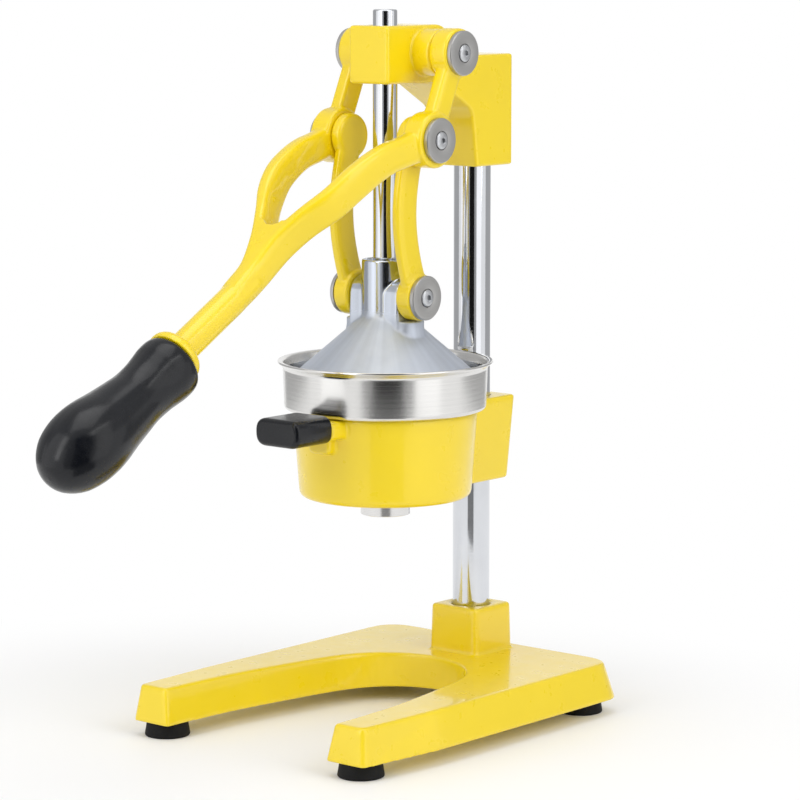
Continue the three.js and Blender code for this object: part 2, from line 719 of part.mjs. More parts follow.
// Bowl arm casting: a clamp block on the column, the bowl, and a lug for the side grip
function bowlArmCasting() {
  const front = rodY;
  const low = roundedBox(-clampBottomHalf, clampBottomHalf, front, clampBottomRear, clampCorner);
  const high = roundedBox(-clampTopHalf, clampTopHalf, front, clampTopRear, clampCorner);
  const block = stacked([
    atHeight(insetOutline(low, clampEdge), bowlBottom + seatGap),
    atHeight(low, bowlBottom + seatGap + clampEdge),
    atHeight(high, bowlTop - clampEdge - seatGap),
    atHeight(insetOutline(high, clampEdge), bowlTop - seatGap),
  ], onFloor);
  const bowl = turned([
    [0, bowlBottom], [bowlBottomRadius - bowlCorner, bowlBottom],
    [bowlBottomRadius - bowlCorner * roundShare, bowlBottom + bowlCorner * roundShare],
    [bowlBottomRadius, bowlBottom + bowlCorner], [bowlTopRadius, bowlTop - clampEdge],
    [bowlTopRadius - clampEdge, bowlTop], [0, bowlTop],
  ], 'z', [0, rodY, 0]);
  const lugLow = bowlTop - lugThickness;
  const lug = stacked([
    atReach(roundedBox(-lugHalf, lugHalf, lugLow, bowlTop, lugCorner), rodY),
    atReach(roundedBox(-lugHalf, lugHalf, lugLow, bowlTop, lugCorner), lugFront),
  ], onFront);
  const ribBox = roundedBox(-ribHalf, ribHalf, lugLow - ribDrop, bowlTop - lugCorner, lugCorner);
  const ribFront = rodY - bowlTopRadius - ribBeyondBowl;
  const rib = stacked([atReach(ribBox, rodY), atReach(ribBox, ribFront)], onFront);
  const inside = turned([
    [0, bowlBottom + bowlFloor], [bowlBottomRadius - bowlWall, bowlBottom + bowlFloor],
    [bowlTopRadius - bowlWall, bowlTop + overrun], [0, bowlTop + overrun],
  ], 'z', [0, rodY, 0]);
  const drain = bar(spoutRadius + bowlDrainGap, bowlBottom - overrun, bowlBottom + bowlFloor + overrun,
    'z', [0, rodY, 0]);
  const columnHole = bar(columnRadius + seatGap, bowlBottom - overrun, bowlTop + overrun, 'z', [0, 0, 0]);
  const screwHoles = clampScrewHeights.map((z) =>
    bar(setScrewRadius + seatGap, 0, clampTopRear + overrun, 'y', [0, 0, z]));
  const studHole = bar(studRadius + seatGap, lugFront - overrun, lugFront + studInLug + seatGap, 'y',
    [0, 0, studZ]);
  return cut(join(bowl, block, lug, rib), inside, drain, columnHole, studHole, ...screwHoles);
}

function sideGrip() {
  const half = sideGripThickness / 2;
  const section = (inset) => roundedBox(-sideGripHalf + inset, sideGripHalf - inset,
    sideGripZ - half + inset, sideGripZ + half - inset, sideGripCorner - inset, gripCornerSteps);
  const [back, front] = [sideGripBack, sideGripBack - sideGripLength];
  const body = stacked([
    atReach(section(sideGripEdge / 3), back),
    atReach(section(0), back - sideGripEdge / 3),
    atReach(section(0), front + sideGripEdge),
    atReach(section(sideGripEdge * roundShare), front + sideGripEdge * roundShare),
    atReach(section(sideGripEdge), front),
  ], onFront);
  return cut(body, bar(studRadius + seatGap, back - studInGrip - seatGap, back + overrun, 'y', [0, 0, studZ]));
}

const sideGripStud = () =>
  bar(studRadius, sideGripBack - studInGrip, sideGripBack + seatGap + studInLug, 'y', [0, 0, studZ], seatGap);

// Juice cup: pressed steel with a rolled rim and a shoulder that stands on the bowl. Its funnel and
// its spout are welded on below.
function juiceCup() {
  const rimTop = cupRimUnder + rimThickness;
  const rimMiddle = (cupRimUnder + rimTop) / 2;
  const outer = [
    [wellRadius - sheet, cupShoulder],
    [cupFootRadius - cupCorner, cupShoulder], [cupFootRadius, cupShoulder + cupCorner],
    [cupRadius, cupRimUnder], [rimRadius - rimThickness / 2, cupRimUnder], [rimRadius, rimMiddle],
    [rimRadius - rimThickness / 2, rimTop], [cupRadius - sheet / 2, rimTop],
  ];
  const inner = [
    [cupRadius - sheet, rimMiddle], [cupFootRadius - sheet, cupShoulder + cupCorner],
    [cupFootRadius - cupCorner, cupShoulder + sheet], [wellRadius - sheet, cupShoulder + sheet],
  ];
  return turned([...outer, ...inner, outer[0]], 'z', [0, rodY, 0]);
}

function cupFunnel() {
  const top = cupShoulder - seatGap;
  const outer = [
    [spoutRadius, funnelBottom], [wellRadius - cupCorner, wellBottom],
    [wellRadius, wellBottom + cupCorner], [wellRadius, top],
  ];
  const inner = [
    [wellRadius - sheet, top], [wellRadius - sheet, wellBottom + cupCorner],
    [wellRadius - cupCorner - sheet / 2, wellBottom + sheet],
    [spoutRadius - sheet, funnelBottom + sheet], [spoutRadius - sheet, funnelBottom],
  ];
  return turned([...outer, ...inner, outer[0]], 'z', [0, rodY, 0], roundSides(rimRadius));
}

const cupSpout = () => ring(spoutRadius, spoutRadius - sheet, bowlBottom - spoutBelowBowl,
  funnelBottom - seatGap, 'z', [0, rodY, 0]);

// Strainer: a flat plate with slots, and the ribbed reamer in its middle
function strainer() {
  const hollowRadius = reamerRadius - reamerRibDepth - reamerWall;
  const around = 3 * reamerRibs;
  const ribbed = reamerShares.map(([across, up]) => Array.from({ length: around }, (_, i) => {
    const angle = (2 * Math.PI * i) / around;
    const depth = reamerRibDepth * Math.sin(Math.PI * Math.min(1, ribFadeShare * across));
    const radius = reamerRadius * across - depth * (1 - Math.cos(reamerRibs * angle)) / 2;
    const height = strainerTop + reamerHeight * up;
    return new THREE.Vector3(radius * Math.cos(angle), rodY + radius * Math.sin(angle), height);
  }));
  const foundation = ribbed[0].map((p) => new THREE.Vector3(p.x, p.y, strainerBottom));
  const reamer = stacked([foundation, ...ribbed], onFloor);
  const plate = bar(strainerRadius, strainerBottom, strainerTop, 'z', [0, rodY, 0]);
  const hollow = turned([
    [0, strainerBottom - overrun], [hollowRadius, strainerBottom - overrun],
    ...hollowShares.map(([across, up]) => [hollowRadius * across, strainerTop + reamerHeight * up]),
  ], 'z', [0, rodY, 0], around / 2);
  const slotMiddle = (reamerRadius + strainerRadius) / 2;
  const slots = Array.from({ length: slotCount }, (_, i) => {
    const slot = new THREE.BoxGeometry(slotLength, slotWidth, strainerThickness + 2 * overrun);
    slot.translate(slotMiddle, 0, strainerBottom + strainerThickness / 2);
    slot.rotateZ((2 * Math.PI * (i + 0.5)) / slotCount);
    slot.translate(0, rodY, 0);
    return toSolid(slot);
  });
  const skirt = ring(hollowRadius + reamerWall, hollowRadius, strainerBottom - strainerSkirt, strainerTop, 'z',
    [0, rodY, 0]);
  return join(cut(join(plate, reamer), hollow, ...slots), skirt);
}

// Bell casting: a hollow cone, its neck round the rod, and two ears for the links
function bellCasting() {
  const skirtTop = bellBottom + bellSkirt;
  const slope = bellConeRise / (bellRadius - neckRadius);
  const wallDrop = bellWall * Math.hypot(1, slope);
  const innerRadius = bellRadius - bellWall;
  const boreRadius = rodRadius + seatGap;
  const mouthRadius = neckRadius - neckLip;
  const body = turned([
    [0, bellBottom], [bellRadius - bellEdge, bellBottom], [bellRadius, bellBottom + bellEdge],
    [bellRadius, skirtTop], [neckRadius, bellConeTop], [neckRadius, neckTop - bellEdge],
    [neckRadius - bellEdge, neckTop],
    [mouthRadius, neckTop], [mouthRadius, neckTop - neckCounterboreDepth], [0, neckTop - neckCounterboreDepth],
  ], 'z', [0, rodY, 0]);
  const inside = turned([
    [0, bellBottom - overrun], [innerRadius, bellBottom - overrun],
    [innerRadius, skirtTop + slope * bellWall - wallDrop],
    [neckRadius + (hubThickness - wallDrop) / slope, hubBottom], [0, hubBottom],
  ], 'z', [0, rodY, 0]);
  const padTop = bellConeTop - padBelowCone;
  const lug = new THREE.Shape();
  lug.moveTo(rodY - earRadius, padTop - padHeight);
  lug.lineTo(rodY + earRadius, padTop - padHeight);
  lug.lineTo(rodY + earRadius, bellPivot.z);
  lug.absarc(rodY, bellPivot.z, earRadius, 0, Math.PI, false);
  lug.closePath();
  const ear = plateOfShape(lug, neckRadius - earInset, earFace, earEdge);
  const padReach = neckRadius + padBeyondNeck;
  const padOutline = roundedBox(-padReach, padReach, rodY - padHalf, rodY + padHalf, padHalf - padFlat,
    padCornerSteps);
  const pad = stacked([
    atHeight(padOutline, padTop - padHeight),
    atHeight(padOutline, padTop - padEdge),
    atHeight(insetOutline(padOutline, padEdge), padTop),
  ], onFloor);
  const rodSpace = bar(boreRadius, hubBottom + hubFloor, neckTop, 'z', [0, rodY, 0]);
  const pivotHoles = [-1, 1].map((hand) => bar(pivotBore,
    ...[rodRadius + bellPivotToRod - seatGap, earFace + overrun].map((s) => s * hand), 'x',
    [0, bellPivot.y, bellPivot.z]));
  const screwHole = bar(neckScrewRadius + seatGap, rodRadius, neckRadius + overrun, 'y',
    [0, rodY, neckTop - neckScrewBelowTop]);
  return cut(join(body, ear, mirrored(ear), pad), inside, rodSpace, ...pivotHoles, screwHole);
}

function neckScrew() {
  const from = rodRadius + seatGap / 2;
  const centre = [0, rodY, neckTop - neckScrewBelowTop];
  const length = neckRadius - from - seatGap;
  return cut(bar(neckScrewRadius, from, from + length, 'y', centre, seatGap),
    keyHole(neckScrewRadius / 2, from + length / 2, from + length + overrun, 'y', centre));
}

// Links: an eye on the bell, a body that bows forward, and a blind domed boss beside the lever
function link() {
  const top = new THREE.Vector2(middlePivot.y, middlePivot.z);
  const foot = new THREE.Vector2(bellPivot.y, bellPivot.z);
  const middle = linkBodyInner + linkBodyThickness / 2;
  const stations = Array.from({ length: linkSteps + 1 }, (_, i) => {
    const share = i / linkSteps;
    const point = foot.clone().lerp(top, share);
    return {
      centre: new THREE.Vector3(middle, point.x - linkBulge * Math.sin(Math.PI * share), point.y),
      halfWidth: linkBodyThickness / 2,
      halfHeight: linkWidth / 2,
    };
  });
  const body = swept(stations, squareCorners);
  const dome = turned([
    [0, linkBodyInner], [linkEyeRadius - linkDomeEdge, linkBodyInner],
    [linkEyeRadius - linkDomeEdge * roundShare, linkBodyInner + linkDomeEdge * roundShare],
    [linkEyeRadius, linkBodyInner + linkDomeEdge], [linkEyeRadius, linkBossOuter - linkEdge],
    [linkEyeRadius - linkEdge, linkBossOuter], [0, linkBossOuter],
  ], 'x', [0, middlePivot.y, middlePivot.z]);
  const eye = bar(linkEyeRadius, linkEyeInner, linkEyeOuter, 'x', [0, bellPivot.y, bellPivot.z], linkEdge);
  const hole = bar(eyeBore, linkEyeInner - overrun, linkEyeOuter + overrun, 'x', [0, bellPivot.y, bellPivot.z]);
  return cut(join(body, dome, eye), hole);
}

// Lever casting: fork arms with their bosses, arms up to the head, stem, collar and tang
const alongHandle = new THREE.Vector3(0, -Math.cos(handleAngle), -Math.sin(handleAngle));
const acrossHandle = new THREE.Vector3(0, -Math.sin(handleAngle), Math.cos(handleAngle));
const onAxis = new THREE.Vector3(0, middlePivot.y, middlePivot.z).addScaledVector(acrossHandle, -handleDrop);

// Turned about the handle's axis, with distances measured from beside the middle pivot.
function turnedOnHandle(profile, sides) {
  const geometry = new THREE.LatheGeometry(profile.map(([r, s]) => new THREE.Vector2(r, s)), sides);
  geometry.applyMatrix4(new THREE.Matrix4().makeBasis(
    new THREE.Vector3(1, 0, 0), alongHandle, new THREE.Vector3(1, 0, 0).cross(alongHandle)));
  geometry.translate(0, onAxis.y, onAxis.z);
  return toSolid(geometry);
}

function leverCasting() {
  const spread = (leverInner + middleBossOuter) / 2;
  const forkPath = new THREE.CatmullRomCurve3(forkShares.map(([along, side, arch, drop]) =>
    new THREE.Vector3(spread * side, onAxis.y, onAxis.z).addScaledVector(alongHandle, handleReach * along)
      .addScaledVector(acrossHandle, forkArch * arch + handleDrop * (1 - drop))));
  const sizePath = new THREE.SplineCurve(forkShares.map((row) => new THREE.Vector2(row[4], row[5])));
  const arm = swept(Array.from({ length: forkSteps + 1 }, (_, i) => {
    const size = sizePath.getPoint(i / forkSteps);
    const [halfHeight, halfWidth] = [forkHalfHeight * size.x, forkHalfWidth * size.y];
    return { centre: forkPath.getPoint(i / forkSteps), halfWidth, halfHeight };
  }), softCorners);
  const stemStart = handleReach * forkShares[forkShares.length - 2][0];
  const collarFront = handleReach + collarThickness;
  const handle = turnedOnHandle([
    [0, stemStart], [stemRadius, stemStart], [stemRadius, handleReach - collarFillet],
    [stemRadius + collarFillet * roundShare, handleReach - collarFillet * roundShare],
    [stemRadius + collarFillet, handleReach], [collarRadius - collarEdge, handleReach],
    [collarRadius, handleReach + collarEdge], [collarRadius, collarFront],
    [tangRadius, collarFront], [tangRadius, collarFront + tangLength], [0, collarFront + tangLength],
  ], roundSides(collarRadius));
  const boss = bar(middleBossRadius, leverInner, middleBossOuter, 'x', [0, middlePivot.y, middlePivot.z], eyeEdge);
  const eye = bar(headEyeRadius, leverInner, headEyeOuter, 'x', [0, headPivot.y, headPivot.z], eyeEdge);
  const [armFrom, armTo] = [leverInner + armInset, headEyeOuter - armOutset];
  const upper = swept([middlePivot, headPivot].map((pivot) => ({
    centre: new THREE.Vector3((armFrom + armTo) / 2, pivot.y, pivot.z),
    halfWidth: (armTo - armFrom) / 2,
    halfHeight: armWidth / 2,
  })), squareCorners);
  const holes = [headPivot, middlePivot].map((pivot) =>
    bar(eyeBore, leverInner - overrun, middleBossOuter + headEyeOuter, 'x', [0, pivot.y, pivot.z]));
  const side = cut(join(arm, boss, eye, upper), ...holes);
  return join(handle, side, mirrored(side));
}

function leverGrip() {
  const mouth = handleReach + collarThickness + seatGap;
  const boreRadius = tangRadius + seatGap;
  const boreEnd = mouth + tangLength + seatGap;
  const outside = gripShares.map(([along, across]) => [across * leverGripRadius, mouth + along * leverGripLength]);
  return turnedOnHandle([[0, boreEnd], [boreRadius, boreEnd], [boreRadius, mouth], ...outside],
    roundSides(leverGripRadius));
}

// Pivots: each is a screw with a wide washer, and a bush that the eye turns on
const pivots = [
  { name: 'head', place: headPivot, inner: leverInner, outer: headEyeOuter, tip: headBossFace - headPivotBite },
  { name: 'middle', place: middlePivot, inner: leverInner, outer: middleBossOuter, tip: leverInner },
  { name: 'bell', place: bellPivot, inner: linkEyeInner, outer: linkEyeOuter, tip: rodRadius + bellPivotToRod },
];

function pivotWasher({ place, outer }) {
  const [from, to] = [outer + seatGap, outer + seatGap + washerThickness];
  const pocketRadius = screwHeadRadius + washerPocketGap;
  return turned([
    [pivotBore, from], [washerRadius, from], [washerRadius, to - washerBevel],
    [washerRadius - washerBevel, to], [pocketRadius, to], [pocketRadius, to - washerPocketDepth],
    [pivotBore, to - washerPocketDepth], [pivotBore, from],
  ], 'x', [0, place.y, place.z]);
}

function pivotScrew({ place, outer, tip }) {
  const seat = outer + 2 * seatGap + washerThickness - washerPocketDepth;
  return screw(pivotScrewRadius, seat - tip, screwHeadRadius, screwHeadHeight, screwSocket,
    screwSocketDepth, 'x', [seat, place.y, place.z], -1);
}

function pivotBush({ place, inner, outer }) {
  return ring(pivotBushRadius, pivotBore, inner, outer, 'x', [0, place.y, place.z]);
}

piece('base_casting', baseCasting(), enamel);
for (const [place, x, y] of feet) {
  piece(`foot_${place}`, foot(x, y), blackRubber);
  piece(`foot_screw_${place}`, footScrew(x, y), zincSteel);
}
piece('column_tube', columnTube(), chrome);
piece('column_plug', columnPlug(), zincSteel);
piece('column_bolt', columnBolt(), zincSteel);
piece('column_washer', columnWasher(), zincSteel);
piece('head_casting', headCasting(), enamel);
piece('head_set_screw_lower', setScrew(headScrewHeights[0]), zincSteel);
piece('head_set_screw_upper', setScrew(headScrewHeights[1]), zincSteel);
piece('rod_bush', rodBush(), nylon);
piece('bowl_arm_casting', bowlArmCasting(), enamel);
piece('bowl_set_screw_lower', setScrew(clampScrewHeights[0]), zincSteel);
piece('bowl_set_screw_upper', setScrew(clampScrewHeights[1]), zincSteel);
piece('side_grip', sideGrip(), blackPlastic);
piece('side_grip_stud', sideGripStud(), zincSteel);
piece('juice_cup', juiceCup(), satinSteel);
piece('cup_funnel', cupFunnel(), satinSteel);
piece('cup_spout', cupSpout(), satinSteel);
piece('strainer', strainer(), satinSteel);
piece('bell_casting', bellCasting(), castAluminium);
piece('guide_rod', guideRod(), chrome);
piece('rod_set_screw', neckScrew(), zincSteel);
pair('link', link(), enamel);
piece('lever_casting', leverCasting(), enamel);
piece('lever_grip', leverGrip(), blackPlastic);
for (const pivot of pivots) {
  pair(`${pivot.name}_pivot_screw`, pivotScrew(pivot), zincSteel);
  pair(`${pivot.name}_pivot_washer`, pivotWasher(pivot), satinSteel);
  pair(`${pivot.name}_pivot_bush`, pivotBush(pivot), zincSteel);
}

// The origin is the middle of the footprint, on the floor.
const footprint = new THREE.Box3().setFromObject(press);
press.position.y = -(footprint.min.y + footprint.max.y) / 2;
press.updateMatrixWorld(true);

export default press;
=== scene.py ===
"""Lever citrus press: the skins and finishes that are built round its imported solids.

Every shape is worked out in millimetres from the column's axis, with the handle towards -Y and
Z up from the floor, and placed() turns it into metres in the frame of the solids.
"""
import json
import math

import bmesh
import bpy
import numpy as np
from bpy.props import FloatProperty, FloatVectorProperty, IntProperty, PointerProperty
from mathutils import Matrix, Vector


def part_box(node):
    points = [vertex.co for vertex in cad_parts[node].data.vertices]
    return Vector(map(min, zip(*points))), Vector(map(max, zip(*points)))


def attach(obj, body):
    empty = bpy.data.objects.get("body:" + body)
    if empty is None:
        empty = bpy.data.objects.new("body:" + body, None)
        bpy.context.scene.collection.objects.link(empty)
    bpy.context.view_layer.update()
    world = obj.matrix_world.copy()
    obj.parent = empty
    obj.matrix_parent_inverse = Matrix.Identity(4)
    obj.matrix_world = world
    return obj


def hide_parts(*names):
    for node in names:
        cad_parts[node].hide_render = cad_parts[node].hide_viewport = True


bl_info = {
    "name": "Lever Citrus Press",
    "version": (1, 0, 0),
    "blender": (4, 5, 0),
    "location": "View3D > Sidebar > Citrus Press",
    "description": "Builds the castings, turned pieces and finishes of a lever citrus press",
    "category": "Add Mesh",
}

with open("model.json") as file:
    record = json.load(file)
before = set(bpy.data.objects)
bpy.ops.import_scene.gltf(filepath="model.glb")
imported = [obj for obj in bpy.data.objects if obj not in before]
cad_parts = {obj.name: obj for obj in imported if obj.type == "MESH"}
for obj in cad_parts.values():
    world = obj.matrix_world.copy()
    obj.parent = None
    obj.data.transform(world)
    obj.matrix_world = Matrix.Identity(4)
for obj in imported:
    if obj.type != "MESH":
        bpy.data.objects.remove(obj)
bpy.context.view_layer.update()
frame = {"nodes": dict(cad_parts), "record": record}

MOST_TRIANGLES = 198000
MM = 0.001
COLUMN_LOW, COLUMN_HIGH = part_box("column_tube")
AXIS_Y = (COLUMN_LOW.y + COLUMN_HIGH.y) / 2
BODIES = frame["record"]["behaviour"]["bodies"]
BODY_OF = {name: body for body, names in BODIES.items() for name in names}
SLOT_OF = {row["node"]: row["material_slot"] for row in frame["record"]["subparts"]}

# Places in millimetres: Y is counted from the column's axis, and a pivot is (Y, Z)
ROD_Y = -90.0
HEAD_PIVOT = (-68.7, 441.6)
MIDDLE_PIVOT = (-93.2, 386.83)
BELL_PIVOT = (-90.0, 284.5)
ROD_AXIS = ((0, ROD_Y, 0), (0, 0, 1))

# Levels of the set screws and of the side grip's stud
HEAD_SCREWS = (384.6, 410.3)
BOWL_SCREWS = (165, 196.5)
ROD_SCREW = 299
GRIP_STUD = 203.3

# The handle's axis leans forward and passes a little below the middle pivot
HANDLE_TILT = math.radians(30.4)
HANDLE_DROP = 8.4

# Levels between which the bell's cast cone turns into its buffed neck
CONE_TOP, NECK_BUFFED = 268, 276

# Levels of the column's ends and of the guide rod's
COLUMN_FOOT, COLUMN_TOP = 22.3, 430.3
ROD_FOOT, ROD_TOP = 267, 469.4

# Radii in millimetres of the bars and of the bores that take them, then of the lever's and links'
# eyes and of the threaded holes for the pivot and set screws
COLUMN_RADIUS, COLUMN_BORE = 12.5, 12.8
ROD_RADIUS, ROD_BORE = 8, 8.3
EYE_BORE, PIVOT_BORE, SCREW_BORE = 6.2, 3.3, 4.3


# Shapes

def placed(points):
    """Millimetres from the column's axis, as metres in the frame of the solids."""
    return np.asarray(points, float) * MM + (0.0, AXIS_Y, 0.0)


def smooth_path(points, count):
    """A curve through all the points: Catmull-Rom, with count points spread evenly by parameter."""
    p = np.asarray(points, float)
    p = np.vstack([2 * p[0] - p[1], p, 2 * p[-1] - p[-2]])
    t = np.linspace(0, len(p) - 3, count)
    i = np.minimum(t.astype(int), len(p) - 4)
    f = (t - i)[:, None]
    a, b, c, d = p[i], p[i + 1], p[i + 2], p[i + 3]
    return 0.5 * (2 * b + (c - a) * f + (2 * a - 5 * b + 4 * c - d) * f**2 + (3 * b - a - 3 * c + d) * f**3)


def rounded(corners, steps=5, closed=False):
    """A line of corners [x, y, radius] whose corners turn in arcs: each is a parabola that leaves
    the two sides at the arc's tangent points."""
    c = np.asarray(corners, float)
    p, r = c[:, :2], c[:, 2]
    before, after = np.roll(p, 1, 0) - p, np.roll(p, -1, 0) - p
    la, lb = np.linalg.norm(before, axis=1) + 1e-9, np.linalg.norm(after, axis=1) + 1e-9
    ua, ub = before / la[:, None], after / lb[:, None]
    half = np.arccos(np.clip((ua * ub).sum(1), -1, 0.9999)) / 2
    t = np.minimum(r / np.tan(half), 0.49 * np.minimum(la, lb))
    if not closed:
        t[[0, -1]] = 0
    s = np.linspace(0, 1, steps + 1)[None, :, None]
    p0, p2 = (p + ua * t[:, None])[:, None], (p + ub * t[:, None])[:, None]
    arcs = (1 - s) ** 2 * p0 + 2 * s * (1 - s) * p[:, None] + s**2 * p2
    keep = np.ones(arcs.shape[:2], bool)
    keep[t == 0, 1:] = False
    return arcs[keep]


def grid(rows, columns):
    """Faces of a grid whose columns close into a ring."""
    r, c = np.meshgrid(np.arange(rows - 1), np.arange(columns), indexing="ij")
    n = (c + 1) % columns
    corners = [r * columns + c, r * columns + n, (r + 1) * columns + n, (r + 1) * columns + c]
    return np.stack(corners, -1).reshape(-1, 4)


def turned(profile, sides=96):
    """A turned shell: each profile row [radius, height] goes once round the Z axis."""
    profile = np.asarray(profile, float)
    turn = np.linspace(0, 2 * np.pi, sides, endpoint=False)
    r, h = profile[:, :1], profile[:, 1:2]
    points = np.stack([r * np.cos(turn), r * np.sin(turn), h + 0 * turn], -1)
    return points.reshape(-1, 3), grid(len(profile), sides), []


def stacked(rings):
    """A shell of rings that all hold the same number of points, with a flat lid at each end."""
    rings = np.asarray(rings, float)
    rows, columns = rings.shape[:2]
    lids = [np.arange(columns)[::-1], np.arange((rows - 1) * columns, rows * columns)]
    return rings.reshape(-1, 3), grid(rows, columns), lids


def outset(outline, by):
    """A closed outline moved outwards along its own normals, where outwards is to the right of
    its direction."""
    ahead = np.roll(outline, -1, 0) - np.roll(outline, 1, 0)
    normal = np.stack([ahead[:, 1], -ahead[:, 0]], 1)
    return outline + by * normal / np.linalg.norm(normal, axis=1)[:, None]


def at_level(outline, level):
    """A flat outline as a ring of points at a level."""
    return np.column_stack([outline, np.full(len(outline), level)])


def edge_levels(low, high, edge, foot=None):
    """Pairs (inset, level) from low to high, where quarter circles round the rims: the lower one by
    foot and the upper one by edge, or both by edge."""
    foot = edge if foot is None else foot
    a = np.linspace(0, np.pi / 2, 5)
    inset, rise = 1 - np.sin(a), 1 - np.cos(a)
    return [*zip(foot * inset, low + foot * rise), *zip(edge * inset[::-1], high - edge * rise[::-1])]


def drafted(outline_at, low, high, edge, foot=None, axes=(0, 1, 2)):
    """A body whose outline changes with the share of its height, with rounded rims. axes says
    which axes the outline's two directions and the height run along."""
    rings = []
    for inset, level in edge_levels(low, high, edge, foot):
        rings.append(at_level(outset(outline_at((level - low) / (high - low)), -inset), level))
    body = np.empty((len(rings), len(rings[0]), 3))
    body[..., list(axes)] = rings
    return stacked(body)


def slab(outline, low, high, edge, foot=None, axes=(1, 2, 0)):
    """An outline with a thickness and rounded rims, standing in the YZ plane unless axes says
    otherwise."""
    return drafted(lambda share: outline, low, high, edge, foot, axes)


def round_bar(radius, low, high, edge, foot=None, sides=96):
    """A bar about Z whose rims are rounded by quarter circles."""
    rim = [[radius - inset, level] for inset, level in edge_levels(low, high, edge, foot)]
    return turned([[0, low], *rim, [0, high]], sides)


def bore(radius, low, high, sides=64):
    """A plain round bar about Z, to cut a hole with."""
    return turned([[0, low], [radius, low], [radius, high], [0, high]], sides)


def swept(path, half_width, half_height, squareness, sides=40):
    """A bar along a path near the YZ plane: at each point a superellipse of the given half width
    across and half height, turned with the path."""
    path = np.asarray(path, float)
    ahead = np.gradient(path, axis=0)
    ahead /= np.linalg.norm(ahead, axis=1)[:, None]
    up = np.cross([1.0, 0, 0], ahead)
    up /= np.linalg.norm(up, axis=1)[:, None]
    across = np.cross(ahead, up)
    turn = 2 * np.pi * (np.arange(sides) + 0.5) / sides
    c, s = np.cos(turn), np.sin(turn)
    wide = np.asarray(half_width, float).reshape(-1, 1) * np.sign(c) * np.abs(c) ** (2 / squareness)
    tall = np.asarray(half_height, float).reshape(-1, 1) * np.sign(s) * np.abs(s) ** (2 / squareness)
    wide, tall = np.broadcast_to(wide, (len(path), sides)), np.broadcast_to(tall, (len(path), sides))
    rings = path[:, None] + wide[..., None] * across[:, None] + tall[..., None] * up[:, None]
    return stacked(rings)


def box_outline(left, right, low, high, corner, steps=6):
    """A rectangle with round corners, as a closed outline."""
    corners = [[left, low, corner], [right, low, corner], [right, high, corner], [left, high, corner]]
    return rounded(corners, steps, closed=True)


def ring_profile(inner, outer, low, high, foot, top, mouth=0.0):
    """The closed profile of a ring for turned(). Its outer corners turn in arcs of foot and top,
    and the inner upper one in an arc of mouth."""
    return rounded([[inner, low, 0], [outer, low, foot], [outer, high, top], [inner, high, mouth],
                    [inner, low, 0]])


def unrounded(points):
    """Rows [x, y, 0] for rounded(), whose corners stay as they are."""
    return np.column_stack([points, np.zeros(len(points))])


def along_x(shell, y, z):
    """Lays a shell that was turned about Z on the X axis through (y, z)."""
    points, quads, lids = shell
    return np.stack([points[:, 2], points[:, 0] + y, points[:, 1] + z], 1), quads, lids


def along_y(shell, y, z):
    """Lays a shell that was turned about Z along Y at the height z, counted from y."""
    points, quads, lids = shell
    return np.stack([points[:, 0], points[:, 2] + y, points[:, 1] + z], 1), quads, lids


def moved(shell, x=0.0, y=0.0):
    """Shifts a shell."""
    points, quads, lids = shell
    return points + (x, y, 0), quads, lids


def on_rod(shell):
    """Moves a shell that was turned about Z to the guide rod's axis."""
    return moved(shell, 0, ROD_Y)


def mirrored(shell):
    """The left-hand copy of a right-hand shell."""
    points, quads, lids = shell
    return points * (-1, 1, 1), quads[:, ::-1], [lid[::-1] for lid in lids]


# What turns a right-hand shell into the shell of each side
HANDS = {"right": lambda shell: shell, "left": mirrored}

# The handle's own directions, and the place on its axis beside the middle pivot
SIDE = np.array([1.0, 0.0, 0.0])
ALONG = np.array([0.0, -math.cos(HANDLE_TILT), -math.sin(HANDLE_TILT)])
ACROSS = np.array([0.0, -math.sin(HANDLE_TILT), math.cos(HANDLE_TILT)])
HANDLE_START = np.array([0.0, *MIDDLE_PIVOT]) - HANDLE_DROP * ACROSS


def on_handle(shell):
    """Lays a shell that was turned about Z on the handle's axis, from beside the middle pivot."""
    points, quads, lids = shell
    x, y, z = points.T[..., None]
    return HANDLE_START + x * SIDE + y * ACROSS + z * ALONG, quads, lids


def across_handle(shell, along):
    """Stands a shell that was turned about Z across the handle's axis, at a distance along it."""
    points, quads, lids = shell
    x, y, z = points.T[..., None]
    return HANDLE_START + x * SIDE + (y + along) * ALONG + z * ACROSS, quads, lids


# Pieces

def mesh_of(name, shells):
    """One mesh in metres from closed shells in millimetres, merged and with its faces outwards."""
    points, faces, start = [], [], 0
    for shell_points, quads, lids in shells:
        points.append(shell_points)
        faces += [*(quads + start).tolist(), *((lid + start).tolist() for lid in lids)]
        start += len(shell_points)
    mesh = bpy.data.meshes.new(name)
    mesh.from_pydata(placed(np.vstack(points)), [], faces)
    body = bmesh.new()
    body.from_mesh(mesh)
    bmesh.ops.remove_doubles(body, verts=body.verts, dist=1e-6)
    bmesh.ops.dissolve_degenerate(body, edges=body.edges, dist=1e-7)
    bmesh.ops.recalc_face_normals(body, faces=body.faces)
    body.to_mesh(mesh)
    body.free()
    return mesh


def made(name, shells, *nodes, sharp=40, axis=None, material=None):
    """One object from closed shells. It replaces the nodes, rides on their body and takes their
    slot and its finish, unless material names another. axis, a place in millimetres and a
    direction, lays the lathe marks."""
    piece = bpy.data.objects.new(name, mesh_of(name, shells))
    bpy.context.scene.collection.objects.link(piece)
    piece.data.materials.append(finish_of(material or SLOT_OF[nodes[0]]))
    piece.data.shade_smooth()
    piece.data.set_sharp_from_angle(angle=math.radians(sharp))
    if axis:
        mark_turning(piece.data, *axis)
    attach(piece, BODY_OF[nodes[0]])
    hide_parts(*nodes)
    return piece


